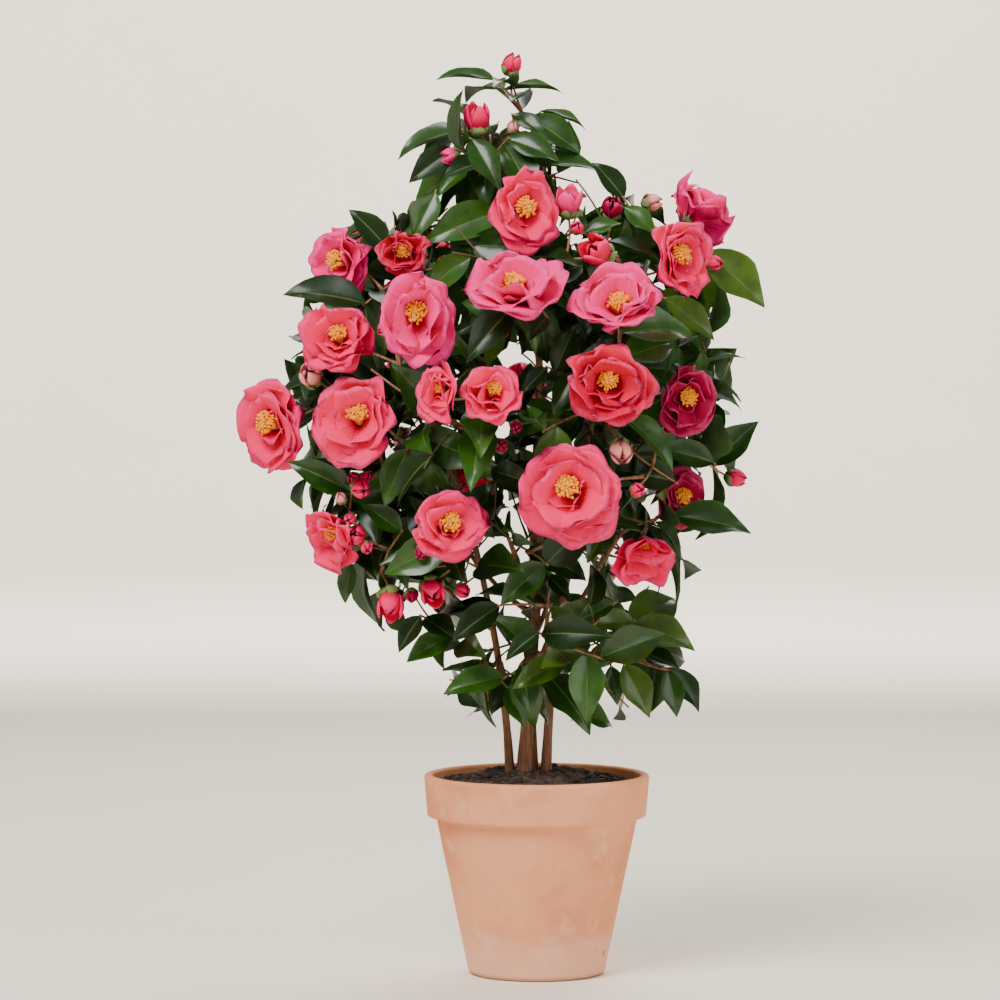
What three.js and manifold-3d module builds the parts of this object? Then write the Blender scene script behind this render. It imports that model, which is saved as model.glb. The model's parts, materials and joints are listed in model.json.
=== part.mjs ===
// A camellia shrub in full bloom, grown as a clump of four stems in a terracotta pot.
// Millimetres, +Z up. The origin is the middle of the pot's flat underside, and the side that is
// seen first faces -Y. Sizes are the real ones, from a pot with a rim 221 mm across.
import * as THREE from 'three';
import { mergeVertices } from 'three/addons/utils/BufferGeometryUtils.js';
import Module from 'manifold-3d';

const wasm = await Module();
wasm.setup();

// Pot: a standard clay pot with a deep rim band.
const POT_HEIGHT = 196;
const RIM_RADIUS = 110.5;
const BAND_FOOT_RADIUS = 107.5;
const BAND_HEIGHT = 41;
const SHOULDER_RADIUS = 99;
const FOOT_RADIUS = 61;
const FOOT_ROUNDING = 7;
const FOOT_STEPS = 3;
const WALL = 9;
const FLOOR = 12;
const LIP = 3.5;
const POT_SEGMENTS = 30;

// The corners where the band meets the wall, inside and out.
const BAND_STEP = 2;
const NECK_DROP = 4;

// Potting mix: a low mound, a little higher than the rim round the stems.
const MIX_EDGE_HEIGHT = 186;
const MIX_TOP_HEIGHT = 198;
const MIX_FLAT_RADIUS = 42;

// The gap between solids that meet, and between the mix and the pot's sloping wall.
const CLEAR = 0.3;
const WALL_EASE = 0.6;

// The place that the plant is seen from: how far the eye is from the pot's axis, how far to the
// side of it and how high above the pot's foot.
const EYE_DISTANCE = 4400;
const EYE_SIDE = -36;
const EYE_HEIGHT = 656;
// The photograph's scale at the pot's axis, where its 226 pixel rim is 221 mm across.
const MM_PER_PIXEL = 221 / 226;
const AXIS_PIXEL = 537;
const GROUND_PIXEL = 975;

// Stems: a cubic curve each, from the flat cut in the mix to the tip.
const STEM_SIDES = 7;
const STEM_STEPS = 8;
const FLARE = 1.28;
const FLARE_SHARE = 0.125;
// How far below the mix a stem's curve starts, before its foot is cut flat.
const ROOTED = 4;
const STEMS = {
  front_stem: {
    foot: [-13, -12], low: [-2, -16, 380], high: [30, -8, 590], tip: [-30, -5, 762], radii: [6.0, 2.5],
  },
  left_stem: {
    foot: [-26, -4], low: [-33, -6, 330], high: [-62, -10, 450], tip: [-118, -14, 600], radii: [3.9, 2.4],
  },
  back_stem: {
    foot: [-2, 9], low: [-8, 20, 340], high: [-5, 58, 480], tip: [6, 108, 620], radii: [3.5, 2.4],
  },
  right_stem: {
    foot: [9, 2], low: [13, -2, 330], high: [40, -15, 480], tip: [92, -18, 600], radii: [4.5, 2.4],
  },
};

// Masses of foliage: rings of hearts around the crown's middle, from the top down. A bough forks from
// its stem this drop below the heart, and a step lower for each neighbour.
const TIERS = [
  { tier: 'crest', height: 822, out: 0, drop: 84, sides: { top: 0 } },
  { tier: 'shoulder', height: 690, out: 128, drop: 84,
    sides: { front: 270, front_right: 330, back_right: 30, back: 90, back_left: 150, front_left: 210 } },
  { tier: 'belly', height: 560, out: 158, drop: 84,
    sides: { front_left: 240, front_right: 300, right: 0, back_right: 60, back_left: 120, left: 180 } },
  { tier: 'skirt', height: 438, out: 120, drop: 84,
    sides: { front: 270, right: 342, back_right: 54, back_left: 126, left: 198 } },
  { tier: 'hem', height: 335, out: 78, drop: 46,
    sides: { left: 215, front: 280, right: 345, back: 100 } },
];
// The mass that each stem's own tip runs into. All other masses are carried by a bough.
const TIP_MASSES = {
  front_stem: 'crest_top',
  left_stem: 'shoulder_front_left',
  back_stem: 'shoulder_back',
  right_stem: 'shoulder_front_right',
};
const BOUGH_SIDES = 5;
const BOUGH_STEPS = 2;
const BOUGH_RADII = [2.9, 2.2];
const FORK_STEP = 14;
// A bough ends at this share of the way to its mass's heart, and its knee hangs at another share of
// it. It leaves its stem no further along than the last fork.
const BOUGH_REACH = 0.62;
const BOUGH_KNEE = 0.26;
const BOUGH_SAG = 12;
const LAST_FORK = 0.86;
const FORK_SEARCH = 60;

// The crown's outline: its half width at each height, and how far its middle lies from the pot's axis.
const CROWN = [
  { height: 262, radius: 104, middle: 24 },
  { height: 345, radius: 146, middle: -6 },
  { height: 430, radius: 192, middle: -30 },
  { height: 520, radius: 230, middle: -28 },
  { height: 600, radius: 216, middle: -26 },
  { height: 690, radius: 208, middle: -22 },
  { height: 740, radius: 142, middle: -18 },
  { height: 790, radius: 94, middle: -38 },
  { height: 885, radius: 52, middle: -36 },
];

// Blooms that are seen, at their pixel in the photograph: how far in front of the pot's axis, how
// wide, and which way each looks (degrees to the right of the viewer, and up).
const BLOOMS = [
  { at: [525, 210], front: 118, width: 84, turn: 15, lift: 12 },
  { at: [340, 263], front: 62, width: 90, turn: -38, lift: 0 },
  { at: [403, 253], front: 112, width: 62, turn: -4, lift: 8 },
  { at: [419, 317], front: 190, width: 94, turn: 8, lift: 4 },
  { at: [338, 338], front: 142, width: 86, turn: -16, lift: 18 },
  { at: [515, 289], front: 190, width: 104, turn: 6, lift: 46 },
  { at: [618, 304], front: 182, width: 98, turn: -6, lift: 36 },
  { at: [679, 257], front: 108, width: 86, turn: 34, lift: 6 },
  { at: [700, 213], front: 24, width: 92, turn: 112, lift: 38 },
  { at: [271, 427], front: 66, width: 90, turn: -32, lift: -4 },
  { at: [356, 419], front: 146, width: 90, turn: -14, lift: 14 },
  { at: [441, 390], front: 206, width: 52, turn: -30, lift: 4 },
  { at: [492, 393], front: 214, width: 58, turn: 6, lift: 12 },
  { at: [610, 382], front: 196, width: 92, turn: 0, lift: 6 },
  { at: [686, 398], front: 120, width: 74, turn: 18, lift: -4 },
  { at: [570, 491], front: 192, width: 104, turn: -8, lift: 8 },
  { at: [448, 525], front: 172, width: 86, turn: 18, lift: 22 },
  { at: [334, 536], front: 88, width: 74, turn: -52, lift: -12 },
  { at: [642, 554], front: 112, width: 82, turn: 16, lift: -38 },
  { at: [682, 496], front: 30, width: 62, turn: 34, lift: 4 },
];

// Buds that are seen, in the same way. Those over 20 mm are opening.
const BUDS = [
  { at: [512, 66], front: 4, width: 19, turn: 40, lift: 55 },
  { at: [477, 120], front: 36, width: 26, turn: -10, lift: 70 },
  { at: [451, 157], front: 50, width: 16, turn: -75, lift: -5 },
  { at: [569, 203], front: 104, width: 25, turn: 10, lift: 65 },
  { at: [597, 252], front: 140, width: 28, turn: -35, lift: 25 },
  { at: [612, 208], front: 70, width: 20, turn: 5, lift: 40 },
  { at: [652, 203], front: 40, width: 17, turn: 80, lift: 5 },
  { at: [445, 263], front: 100, width: 15, turn: -20, lift: 20 },
  { at: [502, 331], front: 170, width: 15, turn: 0, lift: -60 },
  { at: [386, 329], front: 152, width: 16, turn: -50, lift: -20 },
  { at: [311, 375], front: 122, width: 22, turn: -20, lift: 25 },
  { at: [361, 489], front: 132, width: 18, turn: 20, lift: -10 },
  { at: [391, 604], front: 92, width: 27, turn: -10, lift: -55 },
  { at: [433, 592], front: 118, width: 25, turn: 5, lift: -35 },
  { at: [463, 591], front: 104, width: 15, turn: 30, lift: -20 },
  { at: [621, 452], front: 176, width: 22, turn: 5, lift: -40 },
  { at: [638, 490], front: 176, width: 14, turn: 25, lift: 0 },
  { at: [501, 446], front: 178, width: 13, turn: 0, lift: 10 },
  { at: [736, 478], front: 8, width: 18, turn: 75, lift: -10 },
  { at: [356, 535], front: 104, width: 20, turn: -10, lift: 10 },
];

// Leaves that make the outline, from the pixel of the foot to the pixel of the tip: how far in front
// of the pot's axis the foot is, how much nearer the tip is, and how far the upper face is tilted
// from looking up (0) to looking at the viewer (90).
const EDGE_LEAVES = [
  { foot: [496, 82], tip: [436, 77], front: 2, nearer: 0, tilt: 20 },
  { foot: [503, 92], tip: [564, 90], front: -4, nearer: 0, tilt: 10 },
  { foot: [462, 130], tip: [396, 156], front: 10, nearer: 0, tilt: 25 },
  { foot: [540, 113], tip: [588, 128], front: -20, nearer: 0, tilt: 15 },
  { foot: [528, 118], tip: [581, 153], front: 24, nearer: 10, tilt: 60 },
  { foot: [455, 150], tip: [409, 182], front: 36, nearer: 10, tilt: 70 },
  { foot: [624, 199], tip: [593, 162], front: 50, nearer: 0, tilt: 55 },
  { foot: [705, 252], tip: [766, 306], front: 44, nearer: 10, tilt: 65 },
  { foot: [664, 298], tip: [716, 339], front: 66, nearer: 0, tilt: 60 },
  { foot: [678, 372], tip: [744, 353], front: 30, nearer: 0, tilt: 10 },
  { foot: [712, 466], tip: [758, 420], front: 14, nearer: 0, tilt: 65 },
  { foot: [672, 516], tip: [752, 530], front: 60, nearer: 10, tilt: 55 },
  { foot: [634, 622], tip: [697, 649], front: 60, nearer: 5, tilt: 55 },
  { foot: [668, 668], tip: [702, 712], front: -10, nearer: 0, tilt: 40 },
  { foot: [624, 664], tip: [651, 718], front: 60, nearer: 10, tilt: 60 },
  { foot: [505, 678], tip: [443, 692], front: 84, nearer: 10, tilt: 50 },
  { foot: [452, 636], tip: [406, 661], front: 70, nearer: 10, tilt: 60 },
  { foot: [352, 562], tip: [344, 604], front: 60, nearer: 0, tilt: 30 },
  { foot: [352, 492], tip: [288, 461], front: 96, nearer: 5, tilt: 70 },
  { foot: [366, 304], tip: [284, 290], front: 92, nearer: 0, tilt: 45 },
  { foot: [388, 248], tip: [350, 209], front: 80, nearer: 0, tilt: 65 },
];

// Other leaves that are seen, in the same way. One is left out where it would touch its neighbours.
const SEEN_LEAVES = [
  { foot: [482, 82], tip: [453, 105], front: 20, nearer: 15, tilt: 60 },
  { foot: [514, 88], tip: [524, 108], front: 10, nearer: 10, tilt: 60 },
  { foot: [512, 116], tip: [548, 137], front: 40, nearer: 15, tilt: 50 },
  { foot: [508, 140], tip: [560, 160], front: 60, nearer: 15, tilt: 60 },
  { foot: [460, 130], tip: [422, 153], front: -10, nearer: 0, tilt: 50 },
  { foot: [472, 140], tip: [501, 190], front: 70, nearer: 25, tilt: 70 },
  { foot: [490, 138], tip: [516, 172], front: 50, nearer: 10, tilt: 60 },
  { foot: [468, 168], tip: [438, 195], front: 40, nearer: 15, tilt: 40 },
  { foot: [436, 193], tip: [413, 240], front: 60, nearer: 15, tilt: 70 },
  { foot: [500, 212], tip: [425, 241], front: 80, nearer: 15, tilt: 70 },
  { foot: [558, 224], tip: [531, 262], front: 110, nearer: 20, tilt: 70 },
  { foot: [535, 236], tip: [507, 258], front: 100, nearer: 20, tilt: 40 },
  { foot: [614, 201], tip: [588, 191], front: 60, nearer: 10, tilt: 40 },
  { foot: [624, 208], tip: [656, 234], front: 70, nearer: 10, tilt: 60 },
  { foot: [618, 257], tip: [651, 226], front: 110, nearer: 10, tilt: 60 },
  { foot: [584, 234], tip: [621, 222], front: 90, nearer: 0, tilt: 50 },
  { foot: [499, 319], tip: [451, 354], front: 170, nearer: 15, tilt: 65 },
  { foot: [598, 322], tip: [553, 346], front: 175, nearer: 15, tilt: 60 },
  { foot: [576, 307], tip: [546, 326], front: 165, nearer: 10, tilt: 55 },
  { foot: [547, 317], tip: [528, 340], front: 165, nearer: 20, tilt: 50 },
  { foot: [621, 333], tip: [662, 371], front: 165, nearer: 15, tilt: 70 },
  { foot: [662, 288], tip: [712, 312], front: 100, nearer: 5, tilt: 45 },
  { foot: [397, 340], tip: [402, 393], front: 165, nearer: 20, tilt: 80 },
  { foot: [482, 417], tip: [481, 454], front: 175, nearer: 55, tilt: 60 },
  { foot: [490, 446], tip: [484, 499], front: 165, nearer: 40, tilt: 60 },
  { foot: [504, 443], tip: [547, 461], front: 160, nearer: 10, tilt: 50 },
  { foot: [545, 431], tip: [527, 404], front: 150, nearer: 0, tilt: 60 },
  { foot: [574, 372], tip: [553, 414], front: 155, nearer: 10, tilt: 70 },
  { foot: [548, 368], tip: [521, 393], front: 150, nearer: 10, tilt: 60 },
  { foot: [658, 394], tip: [615, 417], front: 165, nearer: 15, tilt: 55 },
  { foot: [714, 463], tip: [654, 446], front: 70, nearer: 10, tilt: 65 },
  { foot: [676, 482], tip: [609, 468], front: 130, nearer: 15, tilt: 65 },
  { foot: [702, 478], tip: [752, 535], front: 40, nearer: 5, tilt: 55 },
  { foot: [611, 524], tip: [587, 562], front: 150, nearer: 20, tilt: 60 },
  { foot: [646, 512], tip: [604, 545], front: 130, nearer: 10, tilt: 60 },
  { foot: [642, 560], tip: [600, 598], front: 90, nearer: 10, tilt: 60 },
  { foot: [652, 648], tip: [603, 659], front: 70, nearer: 15, tilt: 30 },
  { foot: [640, 652], tip: [682, 669], front: 50, nearer: 10, tilt: 35 },
  { foot: [668, 670], tip: [678, 718], front: 20, nearer: 5, tilt: 60 },
  { foot: [611, 666], tip: [618, 706], front: 40, nearer: 5, tilt: 50 },
  { foot: [578, 694], tip: [592, 720], front: 30, nearer: 10, tilt: 60 },
  { foot: [548, 688], tip: [573, 718], front: 60, nearer: 10, tilt: 60 },
  { foot: [522, 664], tip: [531, 717], front: 80, nearer: 15, tilt: 70 },
  { foot: [506, 686], tip: [526, 728], front: 60, nearer: 5, tilt: 60 },
  { foot: [566, 662], tip: [512, 688], front: 90, nearer: 15, tilt: 60 },
  { foot: [421, 616], tip: [398, 652], front: 80, nearer: 10, tilt: 50 },
  { foot: [440, 566], tip: [363, 578], front: 120, nearer: 10, tilt: 70 },
  { foot: [448, 548], tip: [463, 581], front: 120, nearer: 20, tilt: 60 },
  { foot: [326, 520], tip: [292, 536], front: 50, nearer: 0, tilt: 60 },
  { foot: [396, 398], tip: [437, 439], front: 160, nearer: 10, tilt: 60 },
  { foot: [408, 448], tip: [384, 506], front: 130, nearer: 10, tilt: 70 },
  { foot: [425, 450], tip: [448, 500], front: 140, nearer: 10, tilt: 65 },
  { foot: [402, 532], tip: [362, 504], front: 120, nearer: 0, tilt: 60 },
  { foot: [546, 564], tip: [500, 604], front: 130, nearer: 10, tilt: 65 },
  { foot: [549, 576], tip: [571, 600], front: 80, nearer: 10, tilt: 60 },
  { foot: [552, 606], tip: [572, 637], front: 90, nearer: 10, tilt: 60 },
  { foot: [614, 604], tip: [577, 622], front: 100, nearer: 10, tilt: 55 },
  { foot: [374, 371], tip: [321, 377], front: 150, nearer: 10, tilt: 55 },
  { foot: [312, 370], tip: [328, 404], front: 170, nearer: 20, tilt: 40 },
  { foot: [500, 606], tip: [452, 640], front: 110, nearer: 10, tilt: 60 },
  { foot: [600, 658], tip: [530, 642], front: 110, nearer: 10, tilt: 20 },
  { foot: [540, 632], tip: [505, 660], front: 120, nearer: 10, tilt: 55 },
];

// Leafy shoots fill the crown between the blooms: shells of the outline, dealt round it evenly.
const SHELLS = [
  { inset: 40, count: 300, spacing: 51 },
  { inset: 108, count: 60, spacing: 84 },
];
const SHELL_LIFT = 0.45;
// How much of a flower's width a leafy shoot keeps away from it, over the shell's spacing.
const BLOOM_SPACE = 0.3;
const GOLDEN_TURN = 2.399963;
// Blooms and buds at least this far in front have a twin on the far side of the crown.
const TWIN_FRONT = 105;

const TWIG_RADII = [2.3, 1.7];
// How far a leafy twig runs on past its last leaf.
const TWIG_OVERRUN = 3;
// A free twig keeps this far from limbs and other masses' twigs at each of its checks.
const TWIG_CLEARANCE = 4.3;
const TWIG_CHECKS = 8;
const SHORTEST_TWIG = 12;
const JOINT_SPACING = 40;
// A mass's inner stem starts with a collar in line with its bough, and has a few joints of its own.
const INNER_STEM_RADII = [2.3, 2.0];
const INNER_STEM_REACH = 0.9;
const INNER_JOINTS = [0.35, 0.6, 0.8, 1];
const COLLAR = 6;

const LEAF_LENGTHS = [66, 88];
const LEAF_WIDTH_SHARE = 0.54;
// Where a leaf is widest and thickest, as shares of its length, and how it rises, folds and curls.
const LEAF_WIDEST = 0.44;
const LEAF_THICKEST = 0.18;
const LEAF_THICKNESS = 2.4;
const LEAF_RISE = 0.16;
const LEAF_FOLD = 0.28;
const LEAF_CURLS = [0.2, 0.4];
const SEEN_LEAF_CURL = 0.16;
// How a leaf stands on its twig: its angle from the twig and its roll in degrees, and its droop.
const LEAF_SPREADS = [38, 78];
const LEAF_ROLLS = [-34, 34];
const LEAF_DROOPS = [0.1, 0.75];
const TURN_STEP = 0.9;
// Which way a leaf turns its upper face: outwards from the crown's middle, and up. Within this
// distance of the middle it turns less and less outwards.
const SKYWARD = { out: 0.9, up: 0.6, core: 60 };
const FIRST_LEAF = 8;
const LAST_LEAF = 6;
const LEAF_SPACING = 13;
const LEAF_TRIES = 40;
const LEAVES_PER_FLOWER = 4;
const LEAVES_PER_LEAFY_SHOOT = 6;
// How far a leaf's points stay from leaves of its own mass and of others, and from limbs.
const SISTER_GAP = 8.5;
const STRANGER_GAP = 12.5;
const LIMB_GAP = 5;
const TWIG_GAP = 2.5;
const REACH = 190;
// How far a leaf's tip may pass the crown's outline, its lowest row, and the border of its mass.
const OVERHANG = 14;
const DROOP = 22;
const STRAY = 45;
// The grid of points that stands for a leaf in these tests, the length near its root that may touch
// its own mass's twigs, and how level a way must be to have an upper face.
const LEAF_ROWS = 9;
const TOO_UPRIGHT = 1e-4;
const LEAF_COLUMNS = 2;
const ROOT_ROOM = 16;
const FLOWER_GAP = 2;
const FIRST_SEED = 7919;
const SEED_STEP = 104729;

// A bloom's bowl in shares of its radius, out from its axis and up, and its notched wavy rim.
const BLOOM_SIDES = 10;
const BLOOM_PROFILE = [[0, -0.44], [1, 0.16], [0.3, -0.12], [0.2, 0.17], [0, 0.2]];
const BLOOM_NOTCH = 0.06;
const BLOOM_WAVE = 0.08;
const BUD_SIDES = 5;
const BUD_RINGS = 3;
const BUD_STRETCH = 1.3;
// How far a flower reaches behind and before its place, and where its twig ends, in its radii.
const FLOWER_REACH = { bloom: [-0.42, 0.9], bud: [-1.3, 1.5] };
const TWIG_DEPTH = { bloom: 0.34, bud: 0.9, leaf: 0 };

const SKIN = { clay: 0xcf9a7a, mix: 0x3c2a20, bark: 0x8f5f44, leaf: 0x2c5227 };
const ROUGHNESS = { clay: 0.85, mix: 1, bark: 0.9, leaf: 0.4 };

// A repeatable source of numbers between 0 and 1.
class Dice {
  constructor(seed) {
    this.state = seed;
  }

  next() {
    this.state = (this.state * 48271) % 2147483647;
    return this.state / 2147483647;
  }

  between(low, high) {
    return low + (high - low) * this.next();
  }
}

const vector = (x, y, z) => new THREE.Vector3(x, y, z);
const radians = THREE.MathUtils.degToRad;
const UP = vector(0, 0, 1);
const VIEWER = vector(0, -1, 0);

// The point that shows at a pixel, at a distance in front of the pot's axis.
function seenAt([column, row], front) {
  const across = (column - AXIS_PIXEL) * MM_PER_PIXEL;
  const height = (GROUND_PIXEL - row) * MM_PER_PIXEL;
  const share = (EYE_DISTANCE - front) / EYE_DISTANCE;
  return vector(EYE_SIDE + (across - EYE_SIDE) * share, -front, EYE_HEIGHT + (height - EYE_HEIGHT) * share);
}

// The way something looks that is turned to the right of the viewer and lifted.
function facing(turn, lift) {
  const side = radians(turn);
  const rise = radians(lift);
  return vector(Math.sin(side) * Math.cos(rise), -Math.cos(side) * Math.cos(rise), Math.sin(rise));
}

// The crown's half width and middle at a height, between the rows of its outline.
function crownAt(height) {
  const above = CROWN.findIndex((row) => row.height >= height);
  if (above <= 0) return above === 0 ? CROWN[0] : CROWN[CROWN.length - 1];
  const low = CROWN[above - 1];
  const high = CROWN[above];
  const share = (height - low.height) / (high.height - low.height);
  return {
    radius: low.radius + (high.radius - low.radius) * share,
    middle: low.middle + (high.middle - low.middle) * share,
  };
}

// The nearest point of the segment from a to b, given as a share of its length.
function shareAlong(point, a, b) {
  const run = b.clone().sub(a);
  const share = point.clone().sub(a).dot(run) / run.lengthSq();
  return Math.min(1, Math.max(0, share));
}

// Closed geometry to a solid and back.
function solid(geometry) {
  geometry.deleteAttribute('normal');
  geometry.deleteAttribute('uv');
  const merged = mergeVertices(geometry, 1e-4);
  return new wasm.Manifold(new wasm.Mesh({
    numProp: 3,
    vertProperties: new Float32Array(merged.attributes.position.array),
    triVerts: new Uint32Array(merged.index.array),
  }));
}

function geometryOf(shape) {
  const { vertProperties, triVerts } = shape.getMesh();
  return new THREE.BufferGeometry()
    .setAttribute('position', new THREE.BufferAttribute(new Float32Array(vertProperties), 3))
    .setIndex(new THREE.BufferAttribute(new Uint32Array(triVerts), 1));
}

// Moves each vertex of a geometry by a rule that is given its place.
function reshape(geometry, rule) {
  const position = geometry.getAttribute('position');
  for (let i = 0; i < position.count; i += 1) {
    const moved = rule(vector(position.getX(i), position.getY(i), position.getZ(i)));
    position.setXYZ(i, moved.x, moved.y, moved.z);
  }
  return geometry;
}

// A tapering limb: a round bar bent along a curve, with its radius worked out along the way.
function limb(curve, radiusAt, sides, steps) {
  const bar = new THREE.CylinderGeometry(1, 1, 1, sides, steps);
  const frames = curve.computeFrenetFrames(steps, false);
  return reshape(bar, (p) => {
    const step = Math.round((p.y + 0.5) * steps);
    const share = step / steps;
    const radius = radiusAt(share);
    return curve.getPoint(share)
      .addScaledVector(frames.normals[step], p.z * radius)
      .addScaledVector(frames.binormals[step], p.x * radius);
  });
}

const taper = ([thick, thin]) => (share) => thick + (thin - thick) * share;
const stemRadius = ([thick, thin]) => (share) => {
  const flare = share < FLARE_SHARE ? 1 + (FLARE - 1) * (1 - share / FLARE_SHARE) : 1;
  return (thick + (thin - thick) * share) * flare;
};

// A straight three-sided twig between two points.
function twig(from, to, [thick, thin]) {
  const run = to.clone().sub(from);
  const turn = new THREE.Quaternion().setFromUnitVectors(vector(0, 1, 0), run.clone().normalize());
  const bar = new THREE.CylinderGeometry(thin, thick, run.length(), 3);
  return bar.applyQuaternion(turn).translate(...from.clone().add(to).multiplyScalar(0.5).toArray());
}

// The way that a leaf with its root at a place would turn its upper face.
function skyward(place) {
  const out = vector(place.x - crownAt(place.z).middle, place.y, 0);
  const share = Math.min(1, out.length() / SKYWARD.core);
  return out.setLength(SKYWARD.out * share).addScaledVector(UP, SKYWARD.up).normalize();
}

// A leaf's own axes: along its midrib, across its blade and out of its upper face.
function leafAxes(along, roll, sky) {
  const level = sky.clone().addScaledVector(along, -along.dot(sky));
  if (level.lengthSq() < TOO_UPRIGHT) level.set(1, 0, 0);
  const face = level.normalize().applyAxisAngle(along, roll);
  return { along, across: face.clone().cross(along), face };
}

// A point of the leaf's surface: u runs from root to tip and v across the half width.
function leafPoint(leaf, u, v) {
  const { along, across, face } = leaf.axes;
  const narrowing = u < LEAF_WIDEST ? u / LEAF_WIDEST : (1 - u) / (1 - LEAF_WIDEST);
  const half = (leaf.length * LEAF_WIDTH_SHARE * narrowing) / 2;
  const sag = leaf.length * (LEAF_RISE * u - leaf.curl * u * u);
  return leaf.root.clone()
    .addScaledVector(along, u * leaf.length)
    .addScaledVector(across, v * half)
    .addScaledVector(face, sag + Math.abs(v) * half * LEAF_FOLD);
}

// The leaf's solid: eight faces, thickest near the root, which is sunk in the twig.
function leafSolid(leaf) {
  const places = {
    '1,0,0': leafPoint(leaf, 1, 0),
    '-1,0,0': leafPoint(leaf, 0, 0),
    '0,0,1': leafPoint(leaf, LEAF_WIDEST, -1),
    '0,0,-1': leafPoint(leaf, LEAF_WIDEST, 1),
    '0,1,0': leafPoint(leaf, LEAF_THICKEST, 0).addScaledVector(leaf.axes.face, LEAF_THICKNESS / 2),
    '0,-1,0': leafPoint(leaf, LEAF_THICKEST, 0).addScaledVector(leaf.axes.face, -LEAF_THICKNESS / 2),
  };
  // Adding 0 turns a corner's -0 into 0.
  return solid(reshape(new THREE.OctahedronGeometry(1), (p) => (
    places[p.toArray().map((n) => Math.round(n) + 0).join(',')])));
}

// A grid of points on the leaf, close enough together that nothing thick can pass between them.
function leafSamples(leaf) {
  const samples = [];
  for (let i = 1; i <= LEAF_ROWS; i += 1) {
    for (let j = -LEAF_COLUMNS; j <= LEAF_COLUMNS; j += 1) {
      samples.push(leafPoint(leaf, i / LEAF_ROWS, j / LEAF_COLUMNS));
    }
  }
  return samples;
}

// Turns a shape made around +Z so that it looks along a direction from a place.
function aim(geometry, place, direction) {
  const turn = new THREE.Quaternion().setFromUnitVectors(UP, direction);
  return geometry.applyQuaternion(turn).translate(...place.toArray());
}

// A bloom: a bowl of petals with a notched rim around a boss of stamens.
function bloomSolid(shoot) {
  const radius = shoot.width / 2;
  const profile = BLOOM_PROFILE.map(([out, rise]) => new THREE.Vector2(out * radius, rise * radius));
  const bowl = new THREE.LatheGeometry(profile, BLOOM_SIDES);
  reshape(bowl, (p) => {
    const out = Math.hypot(p.x, p.z);
    const petal = Math.cos(Math.atan2(p.z, p.x) * (BLOOM_SIDES / 2));
    const rim = out > radius / 2 ? 1 : 0;
    const notch = 1 - rim * BLOOM_NOTCH * (1 - petal);
    return vector(p.x * notch, -p.z * notch, p.y + rim * BLOOM_WAVE * radius * petal);
  });
  return solid(aim(bowl, shoot.tip, shoot.face));
}

// A bud: a pointed egg.
function budSolid(shoot) {
  const radius = shoot.width / 2;
  const egg = new THREE.SphereGeometry(1, BUD_SIDES, BUD_RINGS);
  reshape(egg, (p) => vector(p.x * radius, -p.z * radius, p.y * radius * BUD_STRETCH));
  return solid(aim(egg, shoot.tip, shoot.face));
}

// Where a shoot's twig ends: inside the base of its bloom or bud.
const twigEnd = (shoot) => shoot.tip.clone()
  .addScaledVector(shoot.face, (-TWIG_DEPTH[shoot.kind] * shoot.width) / 2);

// The masses, with the heart of each.
function layMasses() {
  const masses = [];
  TIERS.forEach(({ tier, height, out, drop, sides }) => {
    const { middle } = crownAt(height);
    Object.entries(sides).forEach(([side, bearing], i) => {
      const turn = radians(bearing);
      const heart = vector(middle + out * Math.cos(turn), out * Math.sin(turn), height);
      const forkHeight = height - drop - FORK_STEP * (i % 3);
      masses.push({ name: `${tier}_${side}`, heart, forkHeight, shoots: [] });
    });
  });
  return masses;
}

function nearestMass(masses, place) {
  return masses.reduce((best, mass) => (
    mass.heart.distanceTo(place) < best.heart.distanceTo(place) ? mass : best));
}

// Every shoot of the crown: what is seen, its twins behind, and the leafy ones in between.
function layShoots(masses) {
  const shoots = [];
  const add = (shoot) => {
    const laid = { ...shoot, mass: nearestMass(masses, shoot.tip), number: shoots.length };
    shoots.push(laid);
    laid.mass.shoots.push(laid);
  };
  const flowers = [
    ...BLOOMS.map((row) => ({ ...row, kind: 'bloom' })),
    ...BUDS.map((row) => ({ ...row, kind: 'bud' })),
  ];
  flowers.forEach((row) => {
    const tip = seenAt(row.at, row.front);
    add({ kind: row.kind, tip, face: facing(row.turn, row.lift), width: row.width });
  });
  flowers.filter((row) => row.front > TWIN_FRONT).forEach((row) => {
    const tip = seenAt(row.at, row.front);
    const { middle } = crownAt(tip.z);
    add({
      kind: row.kind,
      tip: vector(2 * middle - tip.x, -tip.y, tip.z),
      face: facing(row.turn + 180, row.lift),
      width: row.width,
    });
  });
  [...EDGE_LEAVES, ...SEEN_LEAVES].forEach((row, i) => {
    const foot = seenAt(row.foot, row.front);
    const run = seenAt(row.tip, row.front + row.nearer).sub(foot);
    add({
      kind: 'leaf', tip: foot, face: run.clone().normalize(), width: 0,
      blade: { length: run.length(), tilt: radians(row.tilt), sure: i < EDGE_LEAVES.length },
    });
  });
  const low = CROWN[0].height;
  const high = CROWN[CROWN.length - 1].height;
  SHELLS.forEach(({ inset, count, spacing }) => {
    for (let i = 0; i < count; i += 1) {
      const height = low + (high - low) * ((i + 0.5) / count);
      const { radius, middle } = crownAt(height);
      const bearing = i * GOLDEN_TURN;
      const out = vector(Math.cos(bearing), Math.sin(bearing), 0);
      if (radius < inset) continue;
      const tip = vector(middle, 0, height).addScaledVector(out, radius - inset);
      const near = shoots.some((other) => (
        other.tip.distanceTo(tip) < spacing + other.width * BLOOM_SPACE));
      if (!near) add({ kind: 'leaf', tip, face: out.setZ(SHELL_LIFT).normalize(), width: 0 });
    }
  });
  return shoots;
}

function stemCurve({ foot, low, high, tip }) {
  return new THREE.CubicBezierCurve3(
    vector(foot[0], foot[1], MIX_TOP_HEIGHT - ROOTED), vector(...low), vector(...high), vector(...tip));
}

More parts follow.
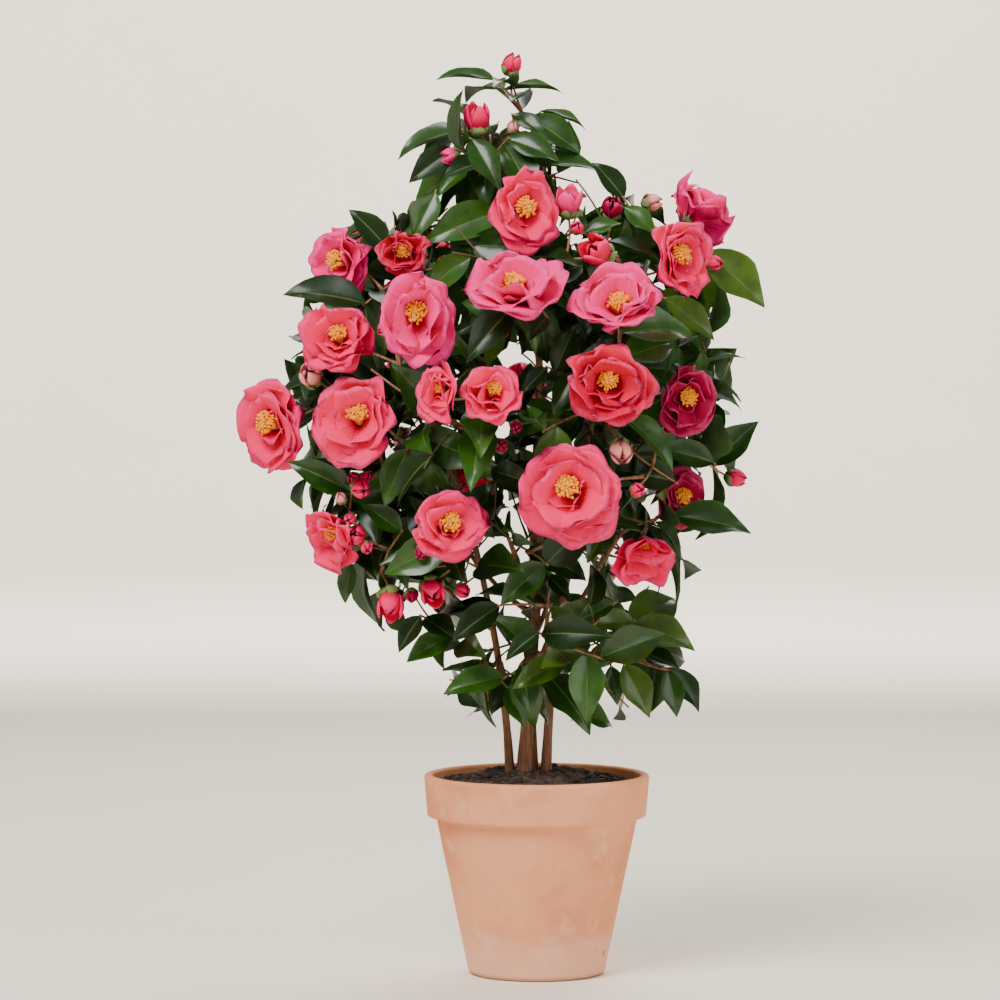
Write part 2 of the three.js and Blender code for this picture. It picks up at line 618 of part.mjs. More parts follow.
// The point of a stem's curve that is nearest to a height.
function shareAtHeight(curve, height) {
  let best = 0;
  for (let i = 0; i <= FORK_SEARCH; i += 1) {
    const gap = Math.abs(curve.getPoint(i / FORK_SEARCH).z - height);
    if (gap < Math.abs(curve.getPoint(best).z - height)) best = i / FORK_SEARCH;
  }
  return best;
}

// Stems and boughs, each with its curve, its radii and the capsules that nothing may touch.
function layLimbs(masses) {
  const limbs = Object.entries(STEMS).map(([name, row]) => (
    { name, curve: stemCurve(row), radiusAt: stemRadius(row.radii), sides: STEM_SIDES, steps: STEM_STEPS }));
  const stems = [...limbs];
  Object.entries(TIP_MASSES).forEach(([stem, name]) => {
    masses.find((mass) => mass.name === name).carrier = stems.find((limbed) => limbed.name === stem);
  });
  masses.filter((mass) => !mass.carrier).forEach((mass) => {
    const forks = stems.map((stem) => {
      const share = Math.min(LAST_FORK, shareAtHeight(stem.curve, mass.forkHeight));
      return { stem, place: stem.curve.getPoint(share) };
    });
    const fork = forks.reduce((best, one) => (
      one.place.distanceTo(mass.heart) < best.place.distanceTo(mass.heart) ? one : best));
    const run = mass.heart.clone().sub(fork.place);
    const entry = fork.place.clone().addScaledVector(run, BOUGH_REACH);
    const knee = fork.place.clone().addScaledVector(run, BOUGH_KNEE).add(vector(0, 0, -BOUGH_SAG));
    const curve = new THREE.QuadraticBezierCurve3(fork.place, knee, entry);
    mass.carrier = {
      name: `${mass.name}_bough`, curve, radiusAt: taper(BOUGH_RADII), parent: fork.stem, sides: BOUGH_SIDES,
      steps: BOUGH_STEPS,
    };
    limbs.push(mass.carrier);
  });
  return limbs;
}

function capsulesOf({ curve, radiusAt, steps }) {
  return Array.from({ length: steps }, (_, i) => ({
    from: curve.getPoint(i / steps), to: curve.getPoint((i + 1) / steps), radius: radiusAt(i / steps),
  }));
}

const gapTo = (capsule, point) => {
  const share = shareAlong(point, capsule.from, capsule.to);
  return capsule.from.clone().lerp(capsule.to, share).distanceTo(point) - capsule.radius;
};

// Whether a point is in a bloom or bud, or close in front of its face.
function inFlower(shoot, point, margin) {
  if (shoot.kind === 'leaf') return false;
  const radius = shoot.width / 2;
  const offset = point.clone().sub(shoot.tip);
  const ahead = offset.dot(shoot.face);
  const aside = offset.addScaledVector(shoot.face, -ahead).length();
  const [behind, before] = FLOWER_REACH[shoot.kind];
  return ahead > behind * radius - margin && ahead < before * radius + margin && aside < radius + margin;
}

// The inner stem of a mass and the twigs that branch from it to each shoot, as capsules.
function growTwigs(mass, shoots, blocked) {
  const { curve } = mass.carrier;
  const end = curve.getPoint(1);
  const way = curve.getTangent(1).normalize();
  const start = end.clone().addScaledVector(way, CLEAR);
  const bend = start.clone().addScaledVector(way, COLLAR);
  const far = start.clone().lerp(mass.heart, INNER_STEM_REACH);
  mass.stem = [{ from: start, to: bend }, { from: bend.clone().addScaledVector(way, -1), to: far }];
  const joints = INNER_JOINTS.map((share) => start.clone().lerp(far, share));
  mass.twigs = [];
  const waiting = [...mass.shoots].sort((a, b) => a.tip.distanceTo(start) - b.tip.distanceTo(start));
  mass.shoots = [];
  waiting.forEach((shoot) => {
    const to = twigEnd(shoot);
    const options = joints.map((from) => {
      const back = Math.max(0, from.distanceTo(start) - to.distanceTo(start));
      return { from, cost: from.distanceTo(to) + back };
    }).sort((a, b) => a.cost - b.cost);
    const found = options.find(({ from }) => (
      from.distanceTo(to) > SHORTEST_TWIG && isFreeRun(from, to, shoot, shoots, blocked)));
    const chosen = found ?? (shoot.kind === 'leaf' && !shoot.blade?.sure ? null : options[0]);
    if (!chosen) return;
    const beyond = to.clone().sub(chosen.from).setLength(shoot.kind === 'leaf' ? TWIG_OVERRUN : 0);
    const capsule = { from: chosen.from, to: to.clone().add(beyond), radius: TWIG_RADII[0], mass, shoot };
    mass.twigs.push(capsule);
    mass.shoots.push(shoot);
    shoot.twig = capsule;
    const length = chosen.from.distanceTo(to);
    const count = Math.floor(length / JOINT_SPACING);
    for (let i = 1; i <= count; i += 1) joints.push(chosen.from.clone().lerp(to, i / (count + 1)));
  });
}

// Whether a twig could run from one point to another clear of limbs, other masses' twigs and flowers.
function isFreeRun(from, to, shoot, shoots, blocked) {
  for (let i = 1; i <= TWIG_CHECKS; i += 1) {
    const point = from.clone().lerp(to, i / TWIG_CHECKS);
    if (blocked.some((capsule) => gapTo(capsule, point) < TWIG_CLEARANCE)) return false;
    if (shoots.some((other) => other !== shoot && inFlower(other, point, FLOWER_GAP))) return false;
  }
  return true;
}

// The leaf of a shoot that is seen, with its face tilted towards the viewer.
function placeBlade(shoot, world) {
  const { length, tilt, sure } = shoot.blade;
  const sky = UP.clone().multiplyScalar(Math.cos(tilt)).addScaledVector(VIEWER, Math.sin(tilt));
  const axes = leafAxes(shoot.face, 0, sky);
  const leaf = { shoot, root: shoot.tip.clone(), axes, length, curl: SEEN_LEAF_CURL };
  if (sure || fits(leaf, shoot, world)) keep(leaf, world);
}

// The leaves of a shoot: each tries several ways to stand, and is skipped if it fits none of them.
function growLeaves(shoot, world) {
  const dice = new Dice(FIRST_SEED + shoot.number * SEED_STEP);
  const { from, to } = shoot.twig;
  const way = to.clone().sub(from).normalize();
  const length = from.distanceTo(to);
  const leafy = shoot.kind === 'leaf';
  let turn = dice.between(0, 2 * Math.PI);
  for (let i = 0; i < (leafy ? LEAVES_PER_LEAFY_SHOOT : LEAVES_PER_FLOWER); i += 1) {
    const back = (leafy ? TWIG_OVERRUN : FIRST_LEAF) + i * LEAF_SPACING;
    if (back > length - LAST_LEAF) break;
    const root = to.clone().addScaledVector(way, -back);
    turn += GOLDEN_TURN;
    for (let attempt = 0; attempt < LEAF_TRIES; attempt += 1) {
      const spread = radians(dice.between(...LEAF_SPREADS));
      const side = leafAxes(way, turn + attempt * TURN_STEP, UP).face;
      const along = way.clone().multiplyScalar(Math.cos(spread)).addScaledVector(side, Math.sin(spread));
      along.z -= dice.between(...LEAF_DROOPS);
      const axes = leafAxes(along.normalize(), radians(dice.between(...LEAF_ROLLS)), skyward(root));
      const size = { length: dice.between(...LEAF_LENGTHS), curl: dice.between(...LEAF_CURLS) };
      const leaf = { shoot, root, axes, ...size };
      if (fits(leaf, shoot, world)) {
        keep(leaf, world);
        break;
      }
    }
  }
}

function keep(leaf, world) {
  world.leaves.push({ ...leaf, samples: leafSamples(leaf) });
}

// A leaf fits if it keeps to the crown and to its mass's own space, and touches no limb, flower,
// leaf or other mass's twig.
function fits(leaf, shoot, world) {
  const samples = leafSamples(leaf);
  const tip = leafPoint(leaf, 1, 0);
  const { radius, middle } = crownAt(tip.z);
  if (Math.hypot(tip.x - middle, tip.y) > radius + OVERHANG) return false;
  if (tip.z < CROWN[0].height - DROOP || tip.z > CROWN[CROWN.length - 1].height) return false;
  const stray = tip.distanceTo(shoot.mass.heart) - tip.distanceTo(nearestMass(world.masses, tip).heart);
  if (stray > STRAY) return false;
  const touches = (point, capsule) => (capsule.mass === shoot.mass
    ? point.distanceTo(leaf.root) > ROOT_ROOM && gapTo(capsule, point) < TWIG_GAP
    : gapTo(capsule, point) < LIMB_GAP);
  const near = (point) => world.capsules.some((capsule) => capsule !== shoot.twig && touches(point, capsule))
    || world.shoots.some((other) => inFlower(other, point, FLOWER_GAP));
  if (samples.some(near)) return false;
  return !world.leaves.some((other) => {
    if (other.root.distanceTo(leaf.root) > REACH) return false;
    const gap = other.shoot.mass === shoot.mass ? SISTER_GAP : STRANGER_GAP;
    return samples.some((a) => other.samples.some((b) => a.distanceTo(b) < gap));
  });
}

// One fused solid: loose scraps and sealed hollows are dropped.
function fuse(pieces) {
  return largest(solid(geometryOf(largest(wasm.Manifold.union(pieces)))));
}

function largest(whole) {
  return whole.decompose().reduce((best, body) => (body.volume() > best.volume() ? body : best));
}

function node(name, geometry, slot) {
  const look = { color: SKIN[slot], roughness: ROUGHNESS[slot], metalness: 0 };
  const material = new THREE.MeshStandardMaterial(look);
  const mesh = new THREE.Mesh(geometry, material);
  mesh.name = name;
  return mesh;
}

// The pot: outside up from the foot, over the lip, and down the inside to the floor.
function potGeometry() {
  const bandFoot = POT_HEIGHT - BAND_HEIGHT;
  const corner = Array.from({ length: FOOT_STEPS + 1 }, (_, i) => {
    const turn = (i / FOOT_STEPS) * (Math.PI / 2);
    return [FOOT_RADIUS + FOOT_ROUNDING * Math.sin(turn), FOOT_ROUNDING * (1 - Math.cos(turn))];
  });
  const outline = [
    [0, 0], ...corner,
    [SHOULDER_RADIUS, bandFoot], [BAND_FOOT_RADIUS - BAND_STEP, bandFoot],
    [BAND_FOOT_RADIUS, bandFoot + BAND_STEP],
    [RIM_RADIUS, POT_HEIGHT - LIP], [RIM_RADIUS - LIP, POT_HEIGHT], [RIM_RADIUS - WALL + LIP, POT_HEIGHT],
    [RIM_RADIUS - WALL, POT_HEIGHT - LIP], [SHOULDER_RADIUS - WALL, bandFoot - NECK_DROP],
    [FOOT_RADIUS + FOOT_ROUNDING - WALL, FLOOR], [0, FLOOR],
  ];
  const lathe = new THREE.LatheGeometry(outline.map(([r, h]) => new THREE.Vector2(r, h)), POT_SEGMENTS);
  return lathe.rotateX(Math.PI / 2);
}

// The mix fills the pot to a low mound, clear of the wall all round.
function mixGeometry() {
  const bandFoot = POT_HEIGHT - BAND_HEIGHT;
  const share = (MIX_EDGE_HEIGHT - bandFoot + NECK_DROP) / (BAND_HEIGHT - LIP + NECK_DROP);
  const neck = SHOULDER_RADIUS - WALL;
  const edge = neck + (RIM_RADIUS - WALL - neck) * share;
  const outline = [
    [0, FLOOR + CLEAR], [FOOT_RADIUS + FOOT_ROUNDING - WALL - WALL_EASE, FLOOR + CLEAR],
    [neck - WALL_EASE, bandFoot - NECK_DROP], [edge - WALL_EASE, MIX_EDGE_HEIGHT],
    [MIX_FLAT_RADIUS, MIX_TOP_HEIGHT], [0, MIX_TOP_HEIGHT],
  ];
  const lathe = new THREE.LatheGeometry(outline.map(([r, h]) => new THREE.Vector2(r, h)), POT_SEGMENTS);
  return lathe.rotateX(Math.PI / 2);
}

// A limb as a solid: a stem is cut level on the mix, and a bough is cut back to its stem's bark.
function limbSolid({ curve, radiusAt, sides, steps, parent }) {
  const whole = solid(limb(curve, radiusAt, sides, steps));
  if (!parent) return whole.trimByPlane([0, 0, 1], MIX_TOP_HEIGHT + CLEAR);
  const wide = (share) => parent.radiusAt(share) + CLEAR;
  return fuse([whole.subtract(solid(limb(parent.curve, wide, parent.sides, parent.steps)))]);
}

function massSolid(mass, leaves) {
  const pieces = [
    ...mass.stem.map(({ from, to }) => solid(twig(from, to, INNER_STEM_RADII))),
    ...mass.twigs.map(({ from, to }) => solid(twig(from, to, TWIG_RADII))),
    ...leaves.filter((leaf) => leaf.shoot.mass === mass).map(leafSolid),
    ...mass.shoots.filter((shoot) => shoot.kind === 'bloom').map(bloomSolid),
    ...mass.shoots.filter((shoot) => shoot.kind === 'bud').map(budSolid),
  ];
  return fuse(pieces);
}

function grow() {
  const masses = layMasses();
  const shoots = layShoots(masses);
  const limbs = layLimbs(masses);
  const capsules = limbs.flatMap(capsulesOf);
  masses.forEach((mass) => {
    const others = capsules.filter((capsule) => capsule.mass !== mass);
    growTwigs(mass, shoots, others);
    capsules.push(...mass.twigs, ...mass.stem.map((run) => ({ ...run, radius: INNER_STEM_RADII[0], mass })));
  });
  const grown = masses.flatMap((mass) => mass.shoots);
  const world = { masses, capsules, shoots: grown, leaves: [] };
  grown.filter((shoot) => shoot.blade?.sure).forEach((shoot) => placeBlade(shoot, world));
  grown.filter((shoot) => shoot.blade && !shoot.blade.sure).forEach((shoot) => placeBlade(shoot, world));
  grown.forEach((shoot) => growLeaves(shoot, world));
  return { masses, limbs, leaves: world.leaves };
}

const plant = grow();
const camellia = new THREE.Group();
camellia.add(node('pot', potGeometry(), 'clay'));
camellia.add(node('potting_mix', mixGeometry(), 'mix'));
plant.limbs.forEach((one) => camellia.add(node(one.name, geometryOf(limbSolid(one)), 'bark')));
plant.masses.forEach((mass) => {
  camellia.add(node(mass.name, geometryOf(massSolid(mass, plant.leaves)), 'leaf'));
});

export default camellia;
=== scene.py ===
"""A camellia shrub in full bloom in a clay pot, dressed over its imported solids.

The plant is grown here by the rule that its solids follow, in millimetres, and then carried on to
finer twigs and more leaves. Every finished piece is in metres, at the place of its solids.
"""
import json
import math
from functools import lru_cache
from types import SimpleNamespace as Record

import bmesh
import bpy
import numpy as np
from mathutils import Matrix, Vector, noise

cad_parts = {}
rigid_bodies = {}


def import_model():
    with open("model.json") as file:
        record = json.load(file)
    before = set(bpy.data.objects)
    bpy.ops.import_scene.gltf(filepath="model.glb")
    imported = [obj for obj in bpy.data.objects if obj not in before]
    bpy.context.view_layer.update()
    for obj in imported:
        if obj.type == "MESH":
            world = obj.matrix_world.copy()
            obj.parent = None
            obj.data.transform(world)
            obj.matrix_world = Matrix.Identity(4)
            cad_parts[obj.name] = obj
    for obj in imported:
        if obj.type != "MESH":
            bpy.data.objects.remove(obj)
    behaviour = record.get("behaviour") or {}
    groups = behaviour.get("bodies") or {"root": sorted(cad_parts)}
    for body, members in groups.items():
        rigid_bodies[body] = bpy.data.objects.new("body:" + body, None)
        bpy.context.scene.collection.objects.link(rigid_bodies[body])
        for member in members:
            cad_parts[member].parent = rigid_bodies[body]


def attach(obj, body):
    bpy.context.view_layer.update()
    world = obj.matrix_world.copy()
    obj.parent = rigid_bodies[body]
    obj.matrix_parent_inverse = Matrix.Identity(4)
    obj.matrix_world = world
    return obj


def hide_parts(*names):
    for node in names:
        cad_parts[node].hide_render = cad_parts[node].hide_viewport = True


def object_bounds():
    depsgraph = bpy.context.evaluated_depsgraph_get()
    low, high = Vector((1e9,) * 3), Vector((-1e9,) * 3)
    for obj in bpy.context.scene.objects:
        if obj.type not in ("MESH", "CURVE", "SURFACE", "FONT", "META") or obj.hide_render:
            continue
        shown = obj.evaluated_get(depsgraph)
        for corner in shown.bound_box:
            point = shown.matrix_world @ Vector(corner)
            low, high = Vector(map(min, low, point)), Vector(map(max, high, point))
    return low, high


bl_info = {
    "name": "Potted Camellia",
    "version": (1, 0, 0),
    "blender": (4, 5, 0),
    "location": "3D View > Sidebar > Camellia",
    "description": "Dresses a camellia shrub in a clay pot with bark, leaves, blooms and buds",
    "category": "Add Mesh",
}

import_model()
CAD_BOX = [list(corner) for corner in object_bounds()]

MM = 0.001

# The place that the plant is seen from, and the photograph's scale at the pot's axis.
EYE_DISTANCE = 4400
EYE_SIDE = -36
EYE_HEIGHT = 656
MM_PER_PIXEL = 221 / 226
AXIS_PIXEL = 537
GROUND_PIXEL = 975
FRAME_PIXELS = 1000

# Pot and mix.
POT_HEIGHT = 196
RIM_RADIUS = 110.5
BAND_FOOT_RADIUS = 107.5
BAND_HEIGHT = 41
SHOULDER_RADIUS = 99
FOOT_RADIUS = 61
FOOT_ROUNDING = 7
WALL = 9
LIP = 3.5
MIX_EDGE_HEIGHT = 186
MIX_TOP_HEIGHT = 198
MIX_FLAT_RADIUS = 42
MIX_RADIUS = 97

# Stems: a cubic curve each, from the mix to the tip.
FLARE = 1.28
FLARE_SHARE = 0.125
ROOTED = 4
CLEAR = 0.3
STEM_STEPS = 8
STEMS = {
    "front_stem": ((-13, -12), (-2, -16, 380), (30, -8, 590), (-30, -5, 762), (6.0, 2.5)),
    "left_stem": ((-26, -4), (-33, -6, 330), (-62, -10, 450), (-118, -14, 600), (3.9, 2.4)),
    "back_stem": ((-2, 9), (-8, 20, 340), (-5, 58, 480), (6, 108, 620), (3.5, 2.4)),
    "right_stem": ((9, 2), (13, -2, 330), (40, -15, 480), (92, -18, 600), (4.5, 2.4)),
}

# Masses of foliage: tier, height, distance from the crown's middle, how far below it a bough forks,
# and the bearing of each side.
TIERS = (
    ("crest", 822, 0, 84, {"top": 0}),
    ("shoulder", 690, 128, 84, {
        "front": 270, "front_right": 330, "back_right": 30, "back": 90, "back_left": 150, "front_left": 210}),
    ("belly", 560, 158, 84, {
        "front_left": 240, "front_right": 300, "right": 0, "back_right": 60, "back_left": 120, "left": 180}),
    ("skirt", 438, 120, 84, {"front": 270, "right": 342, "back_right": 54, "back_left": 126, "left": 198}),
    ("hem", 335, 78, 46, {"left": 215, "front": 280, "right": 345, "back": 100}),
)
TIP_MASSES = {
    "front_stem": "crest_top",
    "left_stem": "shoulder_front_left",
    "back_stem": "shoulder_back",
    "right_stem": "shoulder_front_right",
}
BOUGH_STEPS = 2
BOUGH_RADII = (2.9, 2.2)
FORK_STEP = 14
BOUGH_REACH = 0.62
BOUGH_KNEE = 0.26
BOUGH_SAG = 12
LAST_FORK = 0.86
FORK_SEARCH = 60

# The crown's outline: height, half width, and how far its middle lies from the pot's axis.
CROWN = (
    (262, 104, 24), (345, 146, -6), (430, 192, -30), (520, 230, -28), (600, 216, -26),
    (690, 208, -22), (740, 142, -18), (790, 94, -38), (885, 52, -36),
)

# Blooms: pixel, distance in front of the axis, width, the way each looks (degrees right and up),
# the tone of its petals, and how cupped it is, from 0 for flat to 1 for a closed cup. The two blooms
# that lie in shade take the darkest tone, which is painted shade.
BLOOMS = (
    ((525, 210), 118, 84, 15, 12, "coral", 0.25),
    ((340, 263), 62, 90, -38, 0, "rose", 0.3),
    ((403, 253), 112, 62, -4, 8, "crimson", 0.75),
    ((419, 317), 190, 94, 8, 4, "rose", 0.35),
    ((338, 338), 142, 86, -16, 18, "coral", 0.5),
    ((515, 289), 190, 104, 6, 46, "rose", 0.3),
    ((618, 304), 182, 98, -6, 36, "rose", 0.35),
    ((679, 257), 108, 86, 34, 6, "coral", 0.3),
    ((700, 213), 24, 92, 112, 38, "rose", 0.3),
    ((271, 427), 66, 90, -32, -4, "coral", 0.2),
    ((356, 419), 146, 90, -14, 14, "coral", 0.45),
    ((441, 390), 206, 52, -30, 4, "coral", 0.8),
    ((492, 393), 214, 58, 6, 12, "coral", 0.6),
    ((610, 382), 196, 92, 0, 6, "crimson", 0.3),
    ((686, 398), 120, 74, 18, -4, "wine", 0.45),
    ((570, 491), 192, 104, -8, 8, "coral", 0.25),
    ((448, 525), 172, 86, 18, 22, "coral", 0.4),
    ((334, 536), 88, 74, -52, -12, "coral", 0.4),
    ((642, 554), 112, 82, 16, -38, "coral", 0.5),
    ((682, 496), 30, 62, 34, 4, "wine", 0.35),
)

# How wide and how high each bloom is seen, as shares of its width, and how much closer its petals stand.
BLOOM_SPREADS = (
    (0.86, 1.02, 0.1), (0.82, 0.9, 0), (0.98, 0.8, 0.1), (0.86, 1.04, 0.1), (0.94, 0.84, 0),
    (1.06, 0.74, 0.2), (1.0, 0.8, 0.25), (0.8, 1.02, 0.1), (1.24, 0.86, -0.24), (0.9, 1.1, 0),
    (0.98, 1.02, 0), (1.1, 1.3, 0.1), (1.12, 1.0, 0), (1.02, 0.86, 0.1), (0.84, 1.04, 0),
    (1.08, 0.96, 0), (1.0, 0.78, 0.1), (1.0, 1.0, 0.2), (0.96, 0.84, 0.3), (0.96, 1.0, 0),
)
BACK_SPREAD = (0.98, 0.92, 0.1)

# Buds: pixel, distance in front, width, the way each looks, tone, and how far it has opened.
BUDS = (
    ((512, 66), 4, 19, 40, 55, "coral", 0.2),
    ((477, 120), 36, 26, -10, 70, "coral", 0.35),
    ((451, 157), 50, 16, -75, -5, "rose", 0.2),
    ((569, 203), 104, 25, 10, 65, "rose", 0.6),
    ((597, 252), 140, 28, -35, 25, "coral", 0.5),
    ((612, 208), 70, 20, 5, 40, "wine", 0.2),
    ((652, 203), 40, 17, 80, 5, "pale", 0.1),
    ((445, 263), 100, 15, -20, 20, "wine", 0),
    ((502, 331), 170, 15, 0, -60, "wine", 0),
    ((386, 329), 152, 16, -50, -20, "coral", 0),
    ((311, 375), 122, 22, -20, 25, "pale", 0.2),
    ((361, 489), 132, 18, 20, -10, "coral", 0),
    ((391, 604), 92, 27, -10, -55, "coral", 0.4),
    ((433, 592), 118, 25, 5, -35, "coral", 0.4),
    ((463, 591), 104, 15, 30, -20, "coral", 0),
    ((621, 452), 176, 22, 5, -40, "pale", 0.1),
    ((638, 490), 176, 14, 25, 0, "coral", 0),
    ((501, 446), 178, 13, 0, 10, "wine", 0),
    ((736, 478), 8, 18, 75, -10, "coral", 0.1),
    ((356, 535), 104, 20, -10, 10, "coral", 0.1),
)

# Small buds that only the finer plant carries, in the same way.
SMALL_BUDS = (
    ((577, 228), 118, 13, 10, 30, "coral", 0), ((350, 519), 112, 12, -10, -10, "coral", 0),
    ((367, 548), 108, 12, 10, -20, "coral", 0), ((354, 478), 128, 13, -30, 20, "wine", 0),
    ((367, 476), 130, 12, 20, 30, "wine", 0), ((516, 427), 182, 12, 0, -20, "wine", 0),
    ((412, 596), 112, 13, 0, -50, "wine", 0), ((421, 553), 150, 13, -10, -30, "wine", 0),
    ((341, 498), 120, 11, -20, 50, "pale", 0), ((513, 128), 46, 12, 10, 60, "pale", 0),
    ((311, 362), 110, 12, -30, 60, "coral", 0), ((714, 263), 60, 15, 50, -10, "coral", 0.1),
)

# Leaves that make the outline: foot pixel, tip pixel, front of the foot, how much nearer the tip is,
# and the tilt of the upper face from looking up (0) to looking at the viewer (90).
EDGE_LEAVES = (
    ((496, 82), (436, 77), 2, 0, 20), ((503, 92), (564, 90), -4, 0, 10),
    ((462, 130), (396, 156), 10, 0, 25), ((540, 113), (588, 128), -20, 0, 15),
    ((528, 118), (581, 153), 24, 10, 60), ((455, 150), (409, 182), 36, 10, 70),
    ((624, 199), (593, 162), 50, 0, 55), ((705, 252), (766, 306), 44, 10, 65),
    ((664, 298), (716, 339), 66, 0, 60), ((678, 372), (744, 353), 30, 0, 10),
    ((712, 466), (758, 420), 14, 0, 65), ((672, 516), (752, 530), 60, 10, 55),
    ((634, 622), (697, 649), 60, 5, 55), ((668, 668), (702, 712), -10, 0, 40),
    ((624, 664), (651, 718), 60, 10, 60), ((505, 678), (443, 692), 84, 10, 50),
    ((452, 636), (406, 661), 70, 10, 60), ((352, 562), (344, 604), 60, 0, 30),
    ((352, 492), (288, 461), 96, 5, 70), ((366, 304), (284, 290), 92, 0, 45),
    ((388, 248), (350, 209), 80, 0, 65),
)

# Other leaves that are seen, in the same way.
SEEN_LEAVES = (
    ((482, 82), (453, 105), 20, 15, 60), ((514, 88), (524, 108), 10, 10, 60),
    ((512, 116), (548, 137), 40, 15, 50), ((508, 140), (560, 160), 60, 15, 60),
    ((460, 130), (422, 153), -10, 0, 50), ((472, 140), (501, 190), 70, 25, 70),
    ((490, 138), (516, 172), 50, 10, 60), ((468, 168), (438, 195), 40, 15, 40),
    ((436, 193), (413, 240), 60, 15, 70), ((500, 212), (425, 241), 80, 15, 70),
    ((558, 224), (531, 262), 110, 20, 70), ((535, 236), (507, 258), 100, 20, 40),
    ((614, 201), (588, 191), 60, 10, 40), ((624, 208), (656, 234), 70, 10, 60),
    ((618, 257), (651, 226), 110, 10, 60), ((584, 234), (621, 222), 90, 0, 50),
    ((499, 319), (451, 354), 170, 15, 65), ((598, 322), (553, 346), 175, 15, 60),
    ((576, 307), (546, 326), 165, 10, 55), ((547, 317), (528, 340), 165, 20, 50),
    ((621, 333), (662, 371), 165, 15, 70), ((662, 288), (712, 312), 100, 5, 45),
    ((397, 340), (402, 393), 165, 20, 80), ((482, 417), (481, 454), 175, 55, 60),
    ((490, 446), (484, 499), 165, 40, 60), ((504, 443), (547, 461), 160, 10, 50),
    ((545, 431), (527, 404), 150, 0, 60), ((574, 372), (553, 414), 155, 10, 70),
    ((548, 368), (521, 393), 150, 10, 60), ((658, 394), (615, 417), 165, 15, 55),
    ((714, 463), (654, 446), 70, 10, 65), ((676, 482), (609, 468), 130, 15, 65),
    ((702, 478), (752, 535), 40, 5, 55), ((611, 524), (587, 562), 150, 20, 60),
    ((646, 512), (604, 545), 130, 10, 60), ((642, 560), (600, 598), 90, 10, 60),
    ((652, 648), (603, 659), 70, 15, 30), ((640, 652), (682, 669), 50, 10, 35),
    ((668, 670), (678, 718), 20, 5, 60), ((611, 666), (618, 706), 40, 5, 50),
    ((578, 694), (592, 720), 30, 10, 60), ((548, 688), (573, 718), 60, 10, 60),
    ((522, 664), (531, 717), 80, 15, 70), ((506, 686), (526, 728), 60, 5, 60),
    ((566, 662), (512, 688), 90, 15, 60), ((421, 616), (398, 652), 80, 10, 50),
    ((440, 566), (363, 578), 120, 10, 70), ((448, 548), (463, 581), 120, 20, 60),
    ((326, 520), (292, 536), 50, 0, 60), ((396, 398), (437, 439), 160, 10, 60),
    ((408, 448), (384, 506), 130, 10, 70), ((425, 450), (448, 500), 140, 10, 65),
    ((402, 532), (362, 504), 120, 0, 60), ((546, 564), (500, 604), 130, 10, 65),
    ((549, 576), (571, 600), 80, 10, 60), ((552, 606), (572, 637), 90, 10, 60),
    ((614, 604), (577, 622), 100, 10, 55), ((374, 371), (321, 377), 150, 10, 55),
    ((312, 370), (328, 404), 170, 20, 40), ((500, 606), (452, 640), 110, 10, 60),
    ((600, 658), (530, 642), 110, 10, 20), ((540, 632), (505, 660), 120, 10, 55),
)

# Leafy shoots in between: how far inside the outline, how many are dealt round, and their spacing.
SHELLS = ((40, 300, 51), (108, 60, 84))
FINE_SHELLS = ((20, 900, 34), (52, 700, 35), (88, 420, 38), (130, 220, 44), (172, 100, 52))
SHELL_LIFT = 0.45
BLOOM_SPACE = 0.3
GOLDEN_TURN = 2.399963
TWIN_FRONT = 105

# The finer twigs and leaves keep within the reach of the solids.
CROWN_LOW = np.array(CAD_BOX[0]) / MM
CROWN_HIGH = np.array(CAD_BOX[1]) / MM

# Twigs: radii at foot and tip, the inner stem that they leave, their joints, and what they keep clear.
TWIG_RADII = (2.3, 1.7)
FINE_TWIG_RADII = (1.2, 0.9)
INNER_STEM_RADII = (2.3, 2.0)
INNER_STEM_REACH = 0.9
INNER_JOINTS = (0.35, 0.6, 0.8, 1)
COLLAR = 6
NEARLY_END = 0.9999
JOINT_SPACING = 40
TWIG_OVERRUN = 3
TWIG_DEPTH = {"bloom": 0.34, "bud": 0.9, "leaf": 0}
TWIG_CLEARANCE = 4.3
TWIG_CHECKS = 8
SHORTEST_TWIG = 12
LONGEST_FINE_TWIG = 95
SAME_PLACE = 0.01

# Leaves: the blade that is tried against its neighbours, and how it stands on its twig.
LONGEST_LEAF = 88
LEAF_WIDTH_SHARE = 0.54
LEAF_WIDEST = 0.44
LEAF_RISE = 0.16
LEAF_FOLD = 0.28
LEAF_CURLS = (0.2, 0.4)
SEEN_LEAF_CURL = 0.16
LEAF_ROWS = 9
LEAF_COLUMNS = 2
LEAF_SPREADS = (38, 78)
LEAF_ROLLS = (-34, 34)
LEAF_DROOPS = (0.1, 0.75)
FIRST_LEAF = 8
LAST_LEAF = 6
TURN_STEP = 0.9
SKYWARD_OUT = 0.9
SKYWARD_UP = 0.6
SKYWARD_CORE = 60
TOO_UPRIGHT = 1e-4

# Room: how far a leaf strays from the crown and from its mass, and how near it comes to others.
CROWN_DROOP = 22
STRAY = 45
ROOT_ROOM = 16
SEEN_ROOM = 2.5
FLOWER_GAP = 2
FLOWER_REACH = {"bloom": (-0.42, 0.9), "bud": (-1.3, 1.5)}

# Seeds: of the shoots, and of each piece as a factor of the first seed and a step to the next number.
FIRST_SEED = 7919
SEED_STEP = 104729
PIECE_SEEDS = {
    "leaf": (1, 1), "boss": (1, 31), "bloom": (3, 97), "stamens": (5, 89), "bud": (7, 83),
    "crumbs": (11, 0), "twigs": (13, 0),
}

